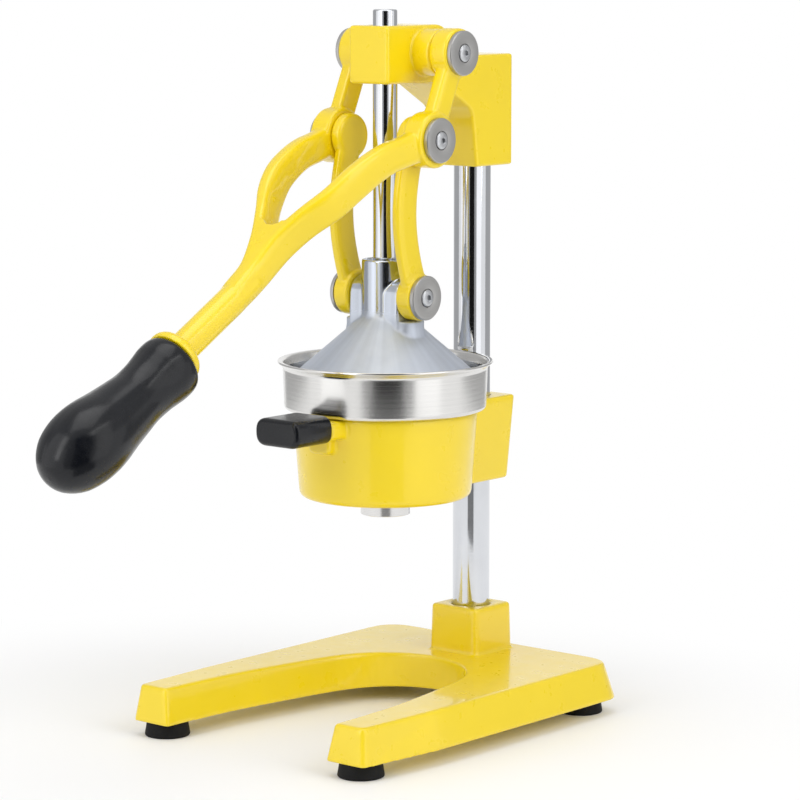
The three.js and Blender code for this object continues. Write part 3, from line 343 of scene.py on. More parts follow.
def mark_turning(mesh, centre, direction):
    """Stores, as a UV map in metres, each point's distance from an axis and its distance along
    it, which the lathe marks of the metal follow."""
    points = np.empty(len(mesh.vertices) * 3, np.float32)
    mesh.vertices.foreach_get("co", points)
    away = points.reshape(-1, 3) - placed(centre)
    height = away @ np.asarray(direction, float)
    radius = np.linalg.norm(away - height[:, None] * np.asarray(direction, float), axis=1)
    corners = np.empty(len(mesh.loops), np.int32)
    mesh.loops.foreach_get("vertex_index", corners)
    layer = mesh.uv_layers.new(name="turning")
    layer.uv.foreach_set("vector", np.stack([radius, height], 1)[corners].astype(np.float32).ravel())


def settle(piece):
    """Applies the modifiers of a piece."""
    graph = bpy.context.evaluated_depsgraph_get()
    graph.update()
    mesh = bpy.data.meshes.new_from_object(piece.evaluated_get(graph))
    piece.modifiers.clear()
    piece.data = mesh


def drilled(piece, *cutters):
    """Cuts closed shells, such as bores, out of a piece whose own shells may overlap."""
    tool = bpy.data.objects.new("cutter", mesh_of("cutter", cutters))
    bpy.context.scene.collection.objects.link(tool)
    hole = piece.modifiers.new("hole", "BOOLEAN")
    hole.operation, hole.solver, hole.object, hole.use_self = "DIFFERENCE", "EXACT", tool, True
    settle(piece)
    bpy.data.meshes.remove(tool.data)


def cast(piece, coarseness, softness=1.0):
    """Melts the overlapping shells of a casting into one skin and softens its edges and inner
    corners, as the mould does: the skin is remeshed at one step, and each round moves every point
    halfway to the middle of its neighbours."""
    sizes = bpy.context.scene.press_sizes
    skin = piece.modifiers.new("skin", "REMESH")
    skin.mode, skin.use_smooth_shade = "VOXEL", True
    skin.voxel_size = coarseness * sizes.skin_step * 1
    soft = piece.modifiers.new("soft", "SMOOTH")
    soft.factor, soft.iterations = 0.5, round(softness * sizes.mould_rounds)
    settle(piece)
    triangles = 2 * len(piece.data.polygons)
    if triangles > MOST_TRIANGLES:
        piece.modifiers.new("thin", "DECIMATE").ratio = MOST_TRIANGLES / triangles
        settle(piece)
    piece.data.shade_smooth()


# Finishes

def srgb(value):
    """A hex colour such as "f4cf10" as linear red, green, blue and alpha."""
    channels = np.array([int(value[i:i + 2], 16) for i in (0, 2, 4)]) / 255
    linear = np.where(channels <= 0.04045, channels / 12.92, ((channels + 0.055) / 1.055) ** 2.4)
    return (*linear.tolist(), 1.0)


def node(tree, kind, inputs=None, **settings):
    """Adds a node, sets its own settings, and sets or links its inputs."""
    added = tree.nodes.new(kind)
    for key, value in settings.items():
        setattr(added, key, value)
    for key, value in (inputs or {}).items():
        socket = added.inputs[key]
        if isinstance(value, bpy.types.NodeSocket):
            tree.links.new(value, socket)
        else:
            socket.default_value = value
    return added


def blank(name, colour, values):
    """A material with one shader, and the piece's own metres as the ground of its patterns."""
    material = bpy.data.materials.new(name)
    material.use_nodes = True
    tree = material.node_tree
    shader = tree.nodes["Principled BSDF"]
    shader.inputs["Base Color"].default_value = shade(colour, 1.0)
    for key, value in values.items():
        shader.inputs[key].default_value = value
    return material, tree, shader, node(tree, "ShaderNodeTexCoord").outputs["Object"]


def grain(tree, place, size, detail=3.0, rough=0.5):
    """Noise whose bumps are about size millimetres apart, where place is in metres."""
    inputs = {"Vector": place, "Scale": 1 / (size * MM), "Detail": detail, "Roughness": rough}
    return node(tree, "ShaderNodeTexNoise", inputs).outputs["Fac"]


def lathe_marks(tree, size):
    """Rings from the tool, about size millimetres apart: noise over the distances from and along
    the piece's axis."""
    turning = node(tree, "ShaderNodeUVMap", uv_map="turning").outputs["UV"]
    inputs = {"Vector": turning, "Scale": 1 / (size * MM), "Detail": 4.0, "Roughness": 0.6}
    return node(tree, "ShaderNodeTexNoise", inputs, noise_dimensions="2D").outputs["Fac"]


def ranged(tree, value, low, high):
    """Maps the middle of a noise, 0.3 to 0.7, to a range."""
    inputs = {"Value": value, "From Min": 0.3, "From Max": 0.7, "To Min": low, "To Max": high}
    return node(tree, "ShaderNodeMapRange", inputs).outputs["Result"]


def uneven(tree, shader, value, low, high):
    """Lets the roughness follow a pattern."""
    tree.links.new(ranged(tree, value, low, high), shader.inputs["Roughness"])


def raised(tree, shader, height, depth, below=None):
    """Turns a pattern into relief of a depth in metres, on top of another relief if given."""
    inputs = {"Height": height, "Distance": depth, "Strength": 1.0}
    if below:
        inputs["Normal"] = below
    bump = node(tree, "ShaderNodeBump", inputs).outputs["Normal"]
    tree.links.new(bump, shader.inputs["Normal"])
    return bump


def tinted(tree, shader, value, two_shades):
    """Lets the base colour drift between two near shades."""
    inputs = {"Factor": ranged(tree, value, 0.0, 1.0), "A": two_shades[0], "B": two_shades[1]}
    mix = node(tree, "ShaderNodeMix", inputs, data_type="RGBA")
    tree.links.new(mix.outputs["Result"], shader.inputs["Base Color"])


def shade(colour, by):
    """A colour a little lighter or darker."""
    return (*(min(1.0, channel * by) for channel in colour[:3]), 1.0)


def shades(colour, low, high):
    """Two near shades of a colour, low and high times it."""
    return shade(colour, low), shade(colour, high)


def yellow_enamel(name, colours, sizes):
    # Baked gloss enamel on cast metal: a clear wet layer over a full yellow, with the faint
    # orange peel of sprayed enamel, about 3 mm from bump to bump.
    material, tree, shader, place = blank(name, colours.enamel, {
        "Roughness": 0.3, "IOR": 1.5, "Coat Weight": 0.6, "Coat Roughness": 0.06, "Coat IOR": 1.5})
    tinted(tree, shader, grain(tree, place, 45.45, 2.0), shades(colours.enamel, 0.975, 1.02))
    uneven(tree, shader, grain(tree, place, 11.11), 0.26, 0.36)
    peel = grain(tree, place, 3.333, 2.0, 0.45)
    bump = raised(tree, shader, peel, sizes.orange_peel)
    tree.links.new(bump, shader.inputs["Coat Normal"])
    return material


def chrome_plate(name, colours, sizes):
    # Hard chrome on ground steel tube: mirror bright, with the hairlines of grinding round it.
    values = {"Metallic": 1.0, "Roughness": 0.08}
    material, tree, shader, place = blank(name, colours.chrome, values)
    lines = lathe_marks(tree, 0.3846)
    uneven(tree, shader, lines, 0.05, 0.12)
    raised(tree, shader, lines, 0.0012 * MM)
    tinted(tree, shader, grain(tree, place, 25), shades(colours.chrome, 1.0, 0.94))
    return material


def satin_steel(name, colours, sizes):
    # Stainless sheet spun in a lathe and brushed while it turns: rings about 0.4 mm apart, on a
    # wall that is very slightly wavy.
    values = {"Metallic": 1.0, "Roughness": 0.2, "Anisotropic": 0.3}
    material, tree, shader, place = blank(name, colours.steel, values)
    lines = lathe_marks(tree, 0.4167)
    uneven(tree, shader, lines, 0.15, 0.25)
    bump = raised(tree, shader, lines, 0.004 * MM)
    raised(tree, shader, grain(tree, place, 38.46, 1.0), 0.12 * MM, bump)
    tinted(tree, shader, lines, shades(colours.steel, 0.93, 1.04))
    return material


def washer_steel(name, colours, sizes):
    # The same stainless steel on the washers, faced off in a lathe and left duller and darker.
    values = {"Metallic": 1.0, "Roughness": 0.36}
    material, tree, shader, _ = blank(name, colours.steel, values)
    lines = lathe_marks(tree, 0.3125)
    uneven(tree, shader, lines, 0.3, 0.44)
    raised(tree, shader, lines, 0.006 * MM)
    tinted(tree, shader, lines, shades(colours.steel, 0.58, 0.66))
    return material


def polished_aluminium(name, colours, sizes):
    # Cast aluminium, tumbled: softly wavy and fine grained, with faint streaks of painted reflection
    # down the cone, and the neck buffed bright above it.
    values = {"Metallic": 1.0, "Roughness": 0.3}
    material, tree, shader, place = blank(name, colours.aluminium, values)
    height = node(tree, "ShaderNodeSeparateXYZ", {0: place}).outputs["Z"]
    cloud = ranged(tree, grain(tree, place, 8.333, 4.0), 0.52, 0.64)
    rough = node(tree, "ShaderNodeMapRange", {
        "Value": height, "From Min": CONE_TOP * MM, "From Max": NECK_BUFFED * MM, "To Min": cloud,
        "To Max": 0.17}).outputs["Result"]
    tree.links.new(rough, shader.inputs["Roughness"])
    bump = raised(tree, shader, grain(tree, place, 0.6667, 4.0, 0.6), 0.008 * MM)
    raised(tree, shader, grain(tree, place, 22.22, 1.0), 0.1 * MM, bump)
    # The painted reflection streaks are noise over the direction from the rod's axis, on a circle 1 m
    # in radius, so that a bump of 220 mm there takes 13 degrees of the cone
    around = place
    for operation, value in (("SUBTRACT", (0.0, AXIS_Y + ROD_Y * MM, 0.0)), ("MULTIPLY", (1.0, 1.0, 0.0)),
                             ("NORMALIZE", (0.0, 0.0, 0.0))):
        around = node(tree, "ShaderNodeVectorMath", {0: around, 1: value}, operation=operation).outputs[0]
    # Painted reflection: the base colour turns lighter and darker in streaks down the cone, standing in for
    # the streaks that brushed metal reflects
    tinted(tree, shader, grain(tree, around, 222.2), shades(colours.aluminium, 0.9, 1.04))
    return material


def zinc_steel(name, colours, sizes):
    # Bright zinc on steel screws: a slightly cloudy, cool grey shine.
    values = {"Metallic": 1.0, "Roughness": 0.34}
    material, tree, shader, place = blank(name, colours.zinc, values)
    cloud = grain(tree, place, 2.381, 4.0, 0.6)
    uneven(tree, shader, cloud, 0.28, 0.42)
    raised(tree, shader, cloud, 0.01 * MM)
    tinted(tree, shader, cloud, shades(colours.zinc, 0.86, 1.05))
    return material


def black_plastic(name, colours, sizes):
    # Moulded phenolic resin: deep black with a polished skin and the faint flow of the mould.
    values = {"Roughness": 0.24, "Specular IOR Level": 0.34, "Coat Weight": 0.1, "Coat Roughness": 0.1}
    material, tree, shader, place = blank(name, colours.grip, values)
    flow = grain(tree, place, 16.67)
    uneven(tree, shader, grain(tree, place, 3.333, 4.0), 0.18, 0.28)
    bump = raised(tree, shader, flow, 0.06 * MM)
    raised(tree, shader, grain(tree, place, 0.7143, 2.0), 0.003 * MM, bump)
    tinted(tree, shader, flow, shades(colours.grip, 1.0, 1.35))
    return material


def black_rubber(name, colours, sizes):
    # Moulded rubber: dull, with a pebbled skin about 0.7 mm from grain to grain.
    values = {"Roughness": 0.6, "Specular IOR Level": 0.18}
    material, tree, shader, place = blank(name, colours.foot, values)
    pebble = grain(tree, place, 0.6667)
    uneven(tree, shader, pebble, 0.5, 0.72)
    raised(tree, shader, pebble, 0.08 * MM)
    tinted(tree, shader, grain(tree, place, 8.333), shades(colours.foot, 1.0, 1.5))
    return material


def nylon(name, colours, sizes):
    # Machined nylon: milky white with faint tool rings and a waxy shine.
    milky = srgb("e8e6dc")
    material, tree, shader, place = blank(name, milky, {"Roughness": 0.45, "IOR": 1.53})
    rings = lathe_marks(tree, 0.625)
    uneven(tree, shader, rings, 0.38, 0.55)
    raised(tree, shader, rings, 0.02 * MM)
    tinted(tree, shader, grain(tree, place, 6.667), (milky, srgb("ddd9cb")))
    return material


FINISHES = {maker.__name__: maker for maker in (
    yellow_enamel, chrome_plate, satin_steel, washer_steel, polished_aluminium, zinc_steel,
    black_plastic, black_rubber, nylon)}


def finish_of(slot):
    """The material of a slot, made when it is first asked for."""
    name, scene = f"{slot}_finish", bpy.context.scene
    return bpy.data.materials.get(name) or FINISHES[slot](name, scene.press_colours, scene.press_sizes)


# Settings

def colour_setting(name, description, value):
    """A colour that the user can change, from a hex value."""
    return FloatVectorProperty(name=name, description=description, subtype="COLOR", size=3, min=0, max=1,
                               default=srgb(value)[:3])


def length_setting(name, description, millimetres):
    """A length that the user can change, from millimetres."""
    return FloatProperty(name=name, description=description, unit="LENGTH", subtype="DISTANCE", min=0,
                         precision=5, default=millimetres * MM)


class PressColours(bpy.types.PropertyGroup):
    """Colours of the finishes"""
    enamel: colour_setting("Enamel", "Colour of the castings", "efd206")
    chrome: colour_setting("Chrome", "Colour of the column and the guide rod", "dcdee2")
    steel: colour_setting("Steel", "Colour of the cup, the strainer and the washers", "e4e3e1")
    aluminium: colour_setting("Aluminium", "Colour of the bell", "ced4df")
    zinc: colour_setting("Zinc", "Colour of the screws", "ced0d3")
    grip: colour_setting("Grips", "Colour of the two grips", "0c0e13")
    foot: colour_setting("Feet", "Colour of the feet", "0f0f10")


class PressSizes(bpy.types.PropertyGroup):
    """Sizes of the details"""
    orange_peel: length_setting("Orange peel", "Height of the ripple in the enamel", 0.03)
    skin_step: length_setting("Skin step", "Size of the faces of a casting's skin", 0.85)
    mould_rounds: IntProperty(name="Mould softness", description="Rounds of softening on a casting", min=0,
                              default=5)
    lip_thickness: length_setting("Lip thickness", "Thickness of the cup's flared lip", 1.5)
    lip_flare: length_setting("Lip flare", "Height over which the cup's lip bends outwards", 4.2)
    washer_bevel: length_setting("Washer bevel", "Slope round a pivot washer's face", 0.5)
    reamer_flutes: IntProperty(name="Reamer flutes", description="Grooves round the reamer", min=3,
                               default=12)
    flute_depth: length_setting("Flute depth", "Depth of the reamer's grooves", 2.6)
    slot_width: length_setting("Slot width", "Width of the strainer's slots", 3.4)
    grip_edge: length_setting("Grip edge", "Rounding of the side grip's outer end", 3.6)


# Base, feet and column

# Where the base's front, its kink, its arch's end and its rear are, then its levels and the tower's
BASE_FRONT, BASE_KINK, ARCH_REAR, BASE_REAR = -228, -160, -33, 35
BASE_BOTTOM, SOCKET_FLOOR, BASE_TOP, TOWER_TOP = 10, 22, 34, 66
# Half of the arch between the legs: shares of its half width and of its length, from a leg's end
ARCH_SHARES = np.array([[1, 0], [0.985, 0.16], [0.95, 0.34], [0.86, 0.56], [0.745, 0.77], [0.6, 0.885],
                        [0.38, 0.96], [0.18, 0.99], [0, 1], [-0.18, 0.99]])
FEET = {f"{end}_{side}": (x, y) for end, y in (("front", -211.5), ("rear", 14))
        for side, x in (("right", 83.4), ("left", -83.4))}
FOOT_BORE = 2.5


def base_outline(share):
    """The base in plan at a share of its draft: straight outer sides that flare behind a kink, and
    between the legs a curve through the arch's places, mirrored."""
    end, rear = BASE_FRONT + 3.5 * share, BASE_REAR - 3.5 * share
    inner, outer = 68 + 4.4 * share, 99.2 - 2.9 * share
    flare, arch = outer + 6.8 - 4.2 * share, ARCH_REAR - 4.4 * share
    half = smooth_path(ARCH_SHARES * (inner, arch - end) + (0, end), 37)[1:32]
    inside = np.vstack([half * (-1, 1), [[0, arch]], half[::-1]])
    right = [[inner, end, 3], [outer, end, 5], [flare, BASE_KINK, 30], [flare, rear, 22]]
    left = [[-x, y, corner] for x, y, corner in reversed(right)]
    return rounded([*right, *left, *unrounded(inside)], 8, closed=True)


def tower_outline(share):
    """The tower's rounded square, which narrows upwards."""
    half = 20.9 - 1.1 * share
    return box_outline(-half, half, -half, half, 4.6)


class PRESS_OT_base(bpy.types.Operator):
    """Builds the cast base with the tower for the column"""
    bl_idname = "press.base"
    bl_label = "Base casting"

    def execute(self, context):
        block = drafted(base_outline, BASE_BOTTOM, BASE_TOP, 1.8, 0.5)
        tower = drafted(tower_outline, SOCKET_FLOOR - 4, TOWER_TOP, 2)
        piece = made("base", [block, tower], "base_casting")
        lead, over = 1.4, TOWER_TOP + 2
        socket = turned([[0, SOCKET_FLOOR], [COLUMN_BORE, SOCKET_FLOOR], [COLUMN_BORE, TOWER_TOP - lead],
                         [COLUMN_BORE + lead, TOWER_TOP], [COLUMN_BORE + lead, over], [0, over]])
        washer_hole = bore(11.6, BASE_BOTTOM - 2, SOCKET_FLOOR - 4)
        bolt_hole = bore(5.3, BASE_BOTTOM, SOCKET_FLOOR + 2, 48)
        feet = [moved(bore(FOOT_BORE, 8, 26, 32), x, y) for x, y in FEET.values()]
        drilled(piece, socket, washer_hole, bolt_hole, *feet)
        cast(piece, 1.2)
        return {"FINISHED"}


class PRESS_OT_feet(bpy.types.Operator):
    """Builds the four rubber feet"""
    bl_idname = "press.feet"
    bl_label = "Feet"

    def execute(self, context):
        recess, seat, top = 5.3, 4.2, 9.7
        profile = rounded([[recess, 0, 0], [15, 0, 1.4], [13.4, top, 0.5], [FOOT_BORE, top, 0],
                           [FOOT_BORE, seat, 0], [recess, seat, 0], [recess, 0, 0]])
        for place, (x, y) in FEET.items():
            name = f"foot_{place}"
            made(f"{name}_rubber", [moved(turned(profile, 80), x, y)], name)
        return {"FINISHED"}


class PRESS_OT_column(bpy.types.Operator):
    """Builds the plated column tube"""
    bl_idname = "press.column"
    bl_label = "Column"

    def execute(self, context):
        profile = ring_profile(COLUMN_RADIUS - 2.5, COLUMN_RADIUS, COLUMN_FOOT, COLUMN_TOP, 0.8, 0.8)
        made("column", [turned(profile, 128)], "column_tube", axis=((0, 0, 0), (0, 0, 1)))
        return {"FINISHED"}


# Head, rod and bush

# Faces of the head's block and of its nose
BLOCK_FRONT, BLOCK_REAR, BLOCK_BOTTOM = -19.6, 18, 364.6
NOSE_FRONT, NOSE_BOTTOM, NOSE_TOP = -107, 421.8, 459.2


class PRESS_OT_head(bpy.types.Operator):
    """Builds the cast head: block, gusset, nose and pivot bosses"""
    bl_idname = "press.head"
    bl_label = "Head casting"

    def execute(self, context):
        block_top, gusset_end, gusset_foot = 438.6, -58, -24.4
        block = rounded([
            [BLOCK_REAR, BLOCK_BOTTOM, 1.5], [BLOCK_REAR, block_top, 2], [BLOCK_FRONT, block_top, 1],
            [gusset_end, 448.9, 0], [gusset_end, NOSE_BOTTOM, 6], [gusset_foot, 402.6, 12],
            [BLOCK_FRONT, BLOCK_BOTTOM, 1.5]], 6, closed=True)
        back = smooth_path([[-12, 434.5], [BLOCK_FRONT, 437], [-38.5, 447.3], [-46, 455.1], [-53.5, 458.9],
                            [-66, NOSE_TOP]], 31)[6:]
        nose = rounded([[NOSE_FRONT, NOSE_BOTTOM, 2.5], [gusset_foot, NOSE_BOTTOM, 0], *unrounded(back),
                        [NOSE_FRONT, NOSE_TOP, 2.5]], 6, closed=True)
        bosses = along_x(round_bar(15.2, -31.2, 31.2, 1.6), *HEAD_PIVOT)
        shells = [slab(block, -20, 20, 1.8), slab(nose, -16.35, 16.35, 1.8), bosses]
        piece = made("head", shells, "head_casting")
        pivot = along_x(bore(PIVOT_BORE, 20.2, 33.2, 32), *HEAD_PIVOT)
        screws = [along_y(bore(SCREW_BORE, 0, 20, 40), 0, z) for z in HEAD_SCREWS]
        drilled(piece, bore(COLUMN_BORE, BLOCK_BOTTOM - 2, COLUMN_TOP + 0.3),
                on_rod(bore(10.5, NOSE_BOTTOM - 2, NOSE_TOP + 2)), pivot, mirrored(pivot), *screws)
        cast(piece, 0.7)
        return {"FINISHED"}


class PRESS_OT_rod(bpy.types.Operator):
    """Builds the guide rod and the bush that it slides in"""
    bl_idname = "press.rod"
    bl_label = "Guide rod and bush"

    def execute(self, context):
        rod = round_bar(ROD_RADIUS, ROD_FOOT, ROD_TOP, 1.2, sides=112)
        made("rod", [on_rod(rod)], "guide_rod", axis=ROD_AXIS)
        bush = ring_profile(ROD_BORE, 10.2, NOSE_BOTTOM + 1, NOSE_TOP - 1, 0.3, 0.3, 0.5)
        made("bush", [on_rod(turned(bush))], "rod_bush", axis=ROD_AXIS)
        return {"FINISHED"}


# Bowl arm and side grip

BOWL_FLOOR, BOWL_RIM = 152, 209.5


def clamp_outline(share):
    """The clamp block in plan, wider and deeper upwards."""
    half, rear = 19.2 + 3.2 * share, 16.6 + 3.6 * share
    return box_outline(-half, half, ROD_Y, rear, 4)


class PRESS_OT_bowl_arm(bpy.types.Operator):
    """Builds the bowl, its clamp block and the lug for the side grip"""
    bl_idname = "press.bowl_arm"
    bl_label = "Bowl arm casting"

    def execute(self, context):
        bowl = rounded([
            [0, BOWL_FLOOR, 0], [56.4, BOWL_FLOOR, 5], [60.6, BOWL_RIM, 1.6], [0, BOWL_RIM, 0]], 8)
        block = drafted(clamp_outline, BOWL_FLOOR + 0.3, BOWL_RIM - 0.3, 1.6)
        lug = slab(box_outline(-17.6, 17.6, 197.1, BOWL_RIM, 5), -163.2, ROD_Y, 1.2, axes=(0, 2, 1))
        rib = slab(box_outline(-9, 9, 186.6, 204.5, 5), -157, ROD_Y, 2.5, axes=(0, 2, 1))
        piece = made("bowl_arm", [on_rod(turned(bowl, 160)), block, lug, rib], "bowl_arm_casting")
        floor, over = BOWL_FLOOR + 4.5, BOWL_RIM + 2
        inside = rounded([[0, floor, 0], [52.4, floor, 4], [56.75, over, 0], [0, over, 0]], 8)
        screws = [along_y(bore(SCREW_BORE, 0, 22.2, 40), 0, z) for z in BOWL_SCREWS]
        drilled(piece, on_rod(turned(inside, 160)), on_rod(bore(19.5, 150, 160)),
                bore(COLUMN_BORE, 150, over), along_y(bore(SCREW_BORE, -165.2, -148.9, 40), 0, GRIP_STUD),
                *screws)
        cast(piece, 1.15)
        return {"FINISHED"}


class PRESS_OT_side_grip(bpy.types.Operator):
    """Builds the short black hold in front of the bowl"""
    bl_idname = "press.side_grip"
    bl_label = "Side grip"

    def execute(self, context):
        near_end, far_end, near_edge = -163.5, -197, 1.2
        far_edge = context.scene.press_sizes.grip_edge / MM
        outline = box_outline(-18.5, 18.5, 195.8, 213.8, 8.4, 10)
        near, far = np.linspace(0, np.pi / 2, 7), np.linspace(0, np.pi / 2, 9)
        insets = [*near_edge * (1 - np.sin(near)), *far_edge * (1 - np.cos(far))]
        levels = [*near_end - near_edge * (1 - np.cos(near)), *far_end + far_edge * (1 - np.sin(far))]
        rings = [at_level(outset(outline, -inset), level) for inset, level in zip(insets, levels)]
        piece = made("side_grip_shell", [stacked(np.array(rings)[..., [0, 2, 1]])], "side_grip")
        drilled(piece, along_y(bore(SCREW_BORE, -185.8, -161.5, 40), 0, GRIP_STUD))
        piece.data.set_sharp_from_angle(angle=math.radians(60))
        return {"FINISHED"}


# Cup and strainer

CUP_SHOULDER, CUP_TOP, PLATE_TOP = 209.8, 241.8, 213.3


class PRESS_OT_cup(bpy.types.Operator):
    """Builds the steel cup with its flared lip, and the funnel and spout under it"""
    bl_idname = "press.cup"
    bl_label = "Juice cup"

    def execute(self, context):
        sizes = context.scene.press_sizes
        lip, flare, sheet = sizes.lip_thickness / MM, sizes.lip_flare / MM, 1.2
        low, high, hole = CUP_SHOULDER, CUP_TOP, 50.6
        wall = rounded([
            [hole, low, 0], [66.2, low, 3], [67.1, high - flare, 3.5], [70.6, high - sheet, 0.6],
            [70.3, high, 0.6], [66.6 + lip / 3, high - 0.4, 3], [65.9, high - 1.6 - flare, 4],
            [65, low + sheet, 2], [hole, low + sheet, 0], [hole, low, 0]], 8)
        made("cup", [on_rod(turned(wall, 192))], "juice_cup", axis=ROD_AXIS)
        inner, outer, weld, bend = 15.1, 16.3, 164.8, 179.8
        funnel = rounded([
            [outer, weld, 0], [48.8, bend - 3, 3], [hole + sheet, bend, 3], [hole + sheet, BOWL_RIM, 0],
            [hole, BOWL_RIM, 0], [hole, bend, 3], [48.2, bend - 1.8, 3], [inner, weld + sheet, 0],
            [inner, weld, 0], [outer, weld, 0]], 6)
        made("funnel", [on_rod(turned(funnel, 160))], "cup_funnel", axis=ROD_AXIS)
        spout = ring_profile(inner, outer, 139.7, weld - 0.3, 0.4, 0)
        made("spout", [on_rod(turned(spout, 96))], "cup_spout", axis=ROD_AXIS)
        return {"FINISHED"}


def reamer_surface(flutes, depth, columns=288):
    """The reamer as rings from the skirt's inside, out round its foot, up the fluted cone and down
    the hollow. The flutes take depth times the sine of the turn, to a power that keeps the ridges
    narrow, from the radius, and fade towards the tip."""
    skirt, foot, size, roof = 36.4, 204.4, 41, 34.4
    cone = smooth_path([[1.0, 0], [0.94, 0.28], [0.76, 0.56], [0.48, 0.82], [0.16, 0.985]], 28)
    cone = np.vstack([cone, [[0.09, 0.997], [0.03, 1.0]]])
    hollow = smooth_path([[0.0, 0.84], [0.5, 0.68], [0.92, 0.24], [1.0, 0.0]], 16)[1:]
    radius = np.concatenate([
        [skirt, skirt + 0.2, 38.8, 39], size * cone[:, 0], [0, 0], skirt * hollow[:, 0], [skirt, skirt]])
    height = np.concatenate([
        [foot, foot - 0.2, foot - 0.2, foot], PLATE_TOP + size * cone[:, 1],
        [PLATE_TOP + size, PLATE_TOP + roof], PLATE_TOP + size * hollow[:, 1], [PLATE_TOP, foot]])
    cut = np.zeros(len(radius))
    cut[4:4 + len(cone)] = depth * np.sin(np.pi * np.minimum(1, 1.15 * cone[:, 0])) ** 0.8
    turn = np.linspace(0, 2 * np.pi, columns, endpoint=False)
    r = radius[:, None] - cut[:, None] * np.abs(np.sin(flutes / 2 * turn)) ** 1.3
    r = np.maximum(r, 0)
    points = np.stack([r * np.cos(turn), r * np.sin(turn), np.broadcast_to(height[:, None], r.shape)], -1)
    return points.reshape(-1, 3), grid(len(radius), columns), []


def spun(shell, degrees):
    """Turns a shell about Z."""
    points, quads, lids = shell
    c, s = math.cos(math.radians(degrees)), math.sin(math.radians(degrees))
    return points @ np.array([[c, s, 0], [-s, c, 0], [0, 0, 1]]), quads, lids


class PRESS_OT_strainer(bpy.types.Operator):
    """Builds the slotted plate and the fluted reamer on it"""
    bl_idname = "press.strainer"
    bl_label = "Strainer and reamer"

    def execute(self, context):
        sizes = context.scene.press_sizes
        plate = ring_profile(37, 62.9, PLATE_TOP - 2, PLATE_TOP, 0.4, 0.6)
        piece = made("strainer_plate", [on_rod(turned(plate, 192))], "strainer")
        half = sizes.slot_width / MM / 2
        slot = box_outline(45.4, 58.5, -half, half, 0.98 * half, 8)
        slot = stacked([at_level(slot, level) for level in (209, 215.5)])
        drilled(piece, *(on_rod(spun(slot, 30 * (step + 0.5))) for step in range(12)))
        piece.data.set_sharp_from_angle(angle=math.radians(40))
        mark_turning(piece.data, *ROD_AXIS)
        surface = on_rod(reamer_surface(sizes.reamer_flutes, sizes.flute_depth / MM))
        made("reamer", [surface], "strainer", sharp=50, axis=ROD_AXIS)
        return {"FINISHED"}


# Bell and links

# Levels of the bell, its radii at the rim and the neck, and the half width of an ear
BELL_RIM, NECK_TOP = 226.7, 308
RIM_RADIUS, NECK_RADIUS = 59.6, 15.3
EAR_HALF = 12.4
# The pad under the ears: how far its sides stand out at each level
PAD_SIDES = [[6.4, 252], [4.4, 254], [2.4, 256.5], [1, 259.5], [0.25, 262.5], [0, 265], [0, 268.2],
             [-0.2, 268.8], [-0.8, 269]]


class PRESS_OT_bell(bpy.types.Operator):
    """Builds the cast bell with its neck, its ears and its pads"""
    bl_idname = "press.bell"
    bl_label = "Bell casting"

    def execute(self, context):
        body = rounded([
            [0, BELL_RIM, 0], [RIM_RADIUS, BELL_RIM, 1.4], [RIM_RADIUS, BELL_RIM + 6, 2.5],
            [NECK_RADIUS, BELL_RIM + 44, 4], [NECK_RADIUS, NECK_TOP, 1.4], [12.2, NECK_TOP, 0.5],
            [12.2, NECK_TOP - 3, 0], [0, NECK_TOP - 3, 0]], 6)
        ear = rounded([
            [ROD_Y - EAR_HALF, 257, 0], [ROD_Y + EAR_HALF, 257, 0], [ROD_Y + EAR_HALF, BELL_PIVOT[1], 0],
            *eye_arc(EAR_HALF, *BELL_PIVOT), [ROD_Y - EAR_HALF, BELL_PIVOT[1], 0]], 4, closed=True)
        ear = slab(ear, 8.8, 20.7, 1.2)
        plan = box_outline(-28.3, 28.3, ROD_Y - 12, ROD_Y + 12, 11.5, 12)
        pad = stacked([at_level(outset(plan, by), level) for by, level in smooth_path(PAD_SIDES, 25)])
        piece = made("bell", [on_rod(turned(body, 160)), ear, mirrored(ear), pad], "bell_casting")
        inside = rounded([[0, 224, 0], [55.6, 224, 0], [55.6, 230.86, 2], [17.3, 263.7, 3], [0, 263.7, 0]], 6)
        pivot = along_x(bore(PIVOT_BORE, 9.4, 22.7, 32), *BELL_PIVOT)
        drilled(piece, on_rod(turned(inside, 160)), on_rod(bore(ROD_BORE, ROD_FOOT - 0.3, NECK_TOP - 2)),
                pivot, mirrored(pivot), along_y(bore(PIVOT_BORE, 8, 17.3, 32), ROD_Y, ROD_SCREW))
        cast(piece, 0.9, 0.6)
        return {"FINISHED"}


def eye_arc(radius, y, z, steps=24):
    """Rows [y, z, 0] along the upper half circle round a pivot."""
    turn = np.linspace(0, math.pi, steps + 2)[1:-1]
    return np.stack([y + radius * np.cos(turn), z + radius * np.sin(turn), 0 * turn], 1)


class PRESS_OT_links(bpy.types.Operator):
    """Builds the two curved links"""
    bl_idname = "press.links"
    bl_label = "Links"

    def execute(self, context):
        middle, bow, width, height = 26.9, 10.8, 3.5, 9.8
        share = np.linspace(0, 1, 41)
        foot, top = np.array(BELL_PIVOT), np.array(MIDDLE_PIVOT)
        line = foot + (top - foot) * share[:, None] - (bow, 0) * np.sin(np.pi * share)[:, None]
        path = np.column_stack([np.full(len(share), middle), line])
        # The link widens towards its lower eye as a bell curve
        body = swept(path, width + 1.4 * np.exp(-(share / 0.1) ** 2), height, 4)
        dome = along_x(round_bar(15, 23.4, 31.2, 1.4, 3), *MIDDLE_PIVOT)
        eye = along_x(round_bar(15, 21, 32.5, 1.4), *BELL_PIVOT)
        hole = along_x(bore(EYE_BORE, 19, 34.5, 48), *BELL_PIVOT)
        for side, hand in HANDS.items():
            piece = made(f"link_{side}_skin", [hand(body), hand(dome), hand(eye)], f"link_{side}")
            drilled(piece, hand(hole))
            cast(piece, 0.7, 2)
        return {"FINISHED"}


# Lever

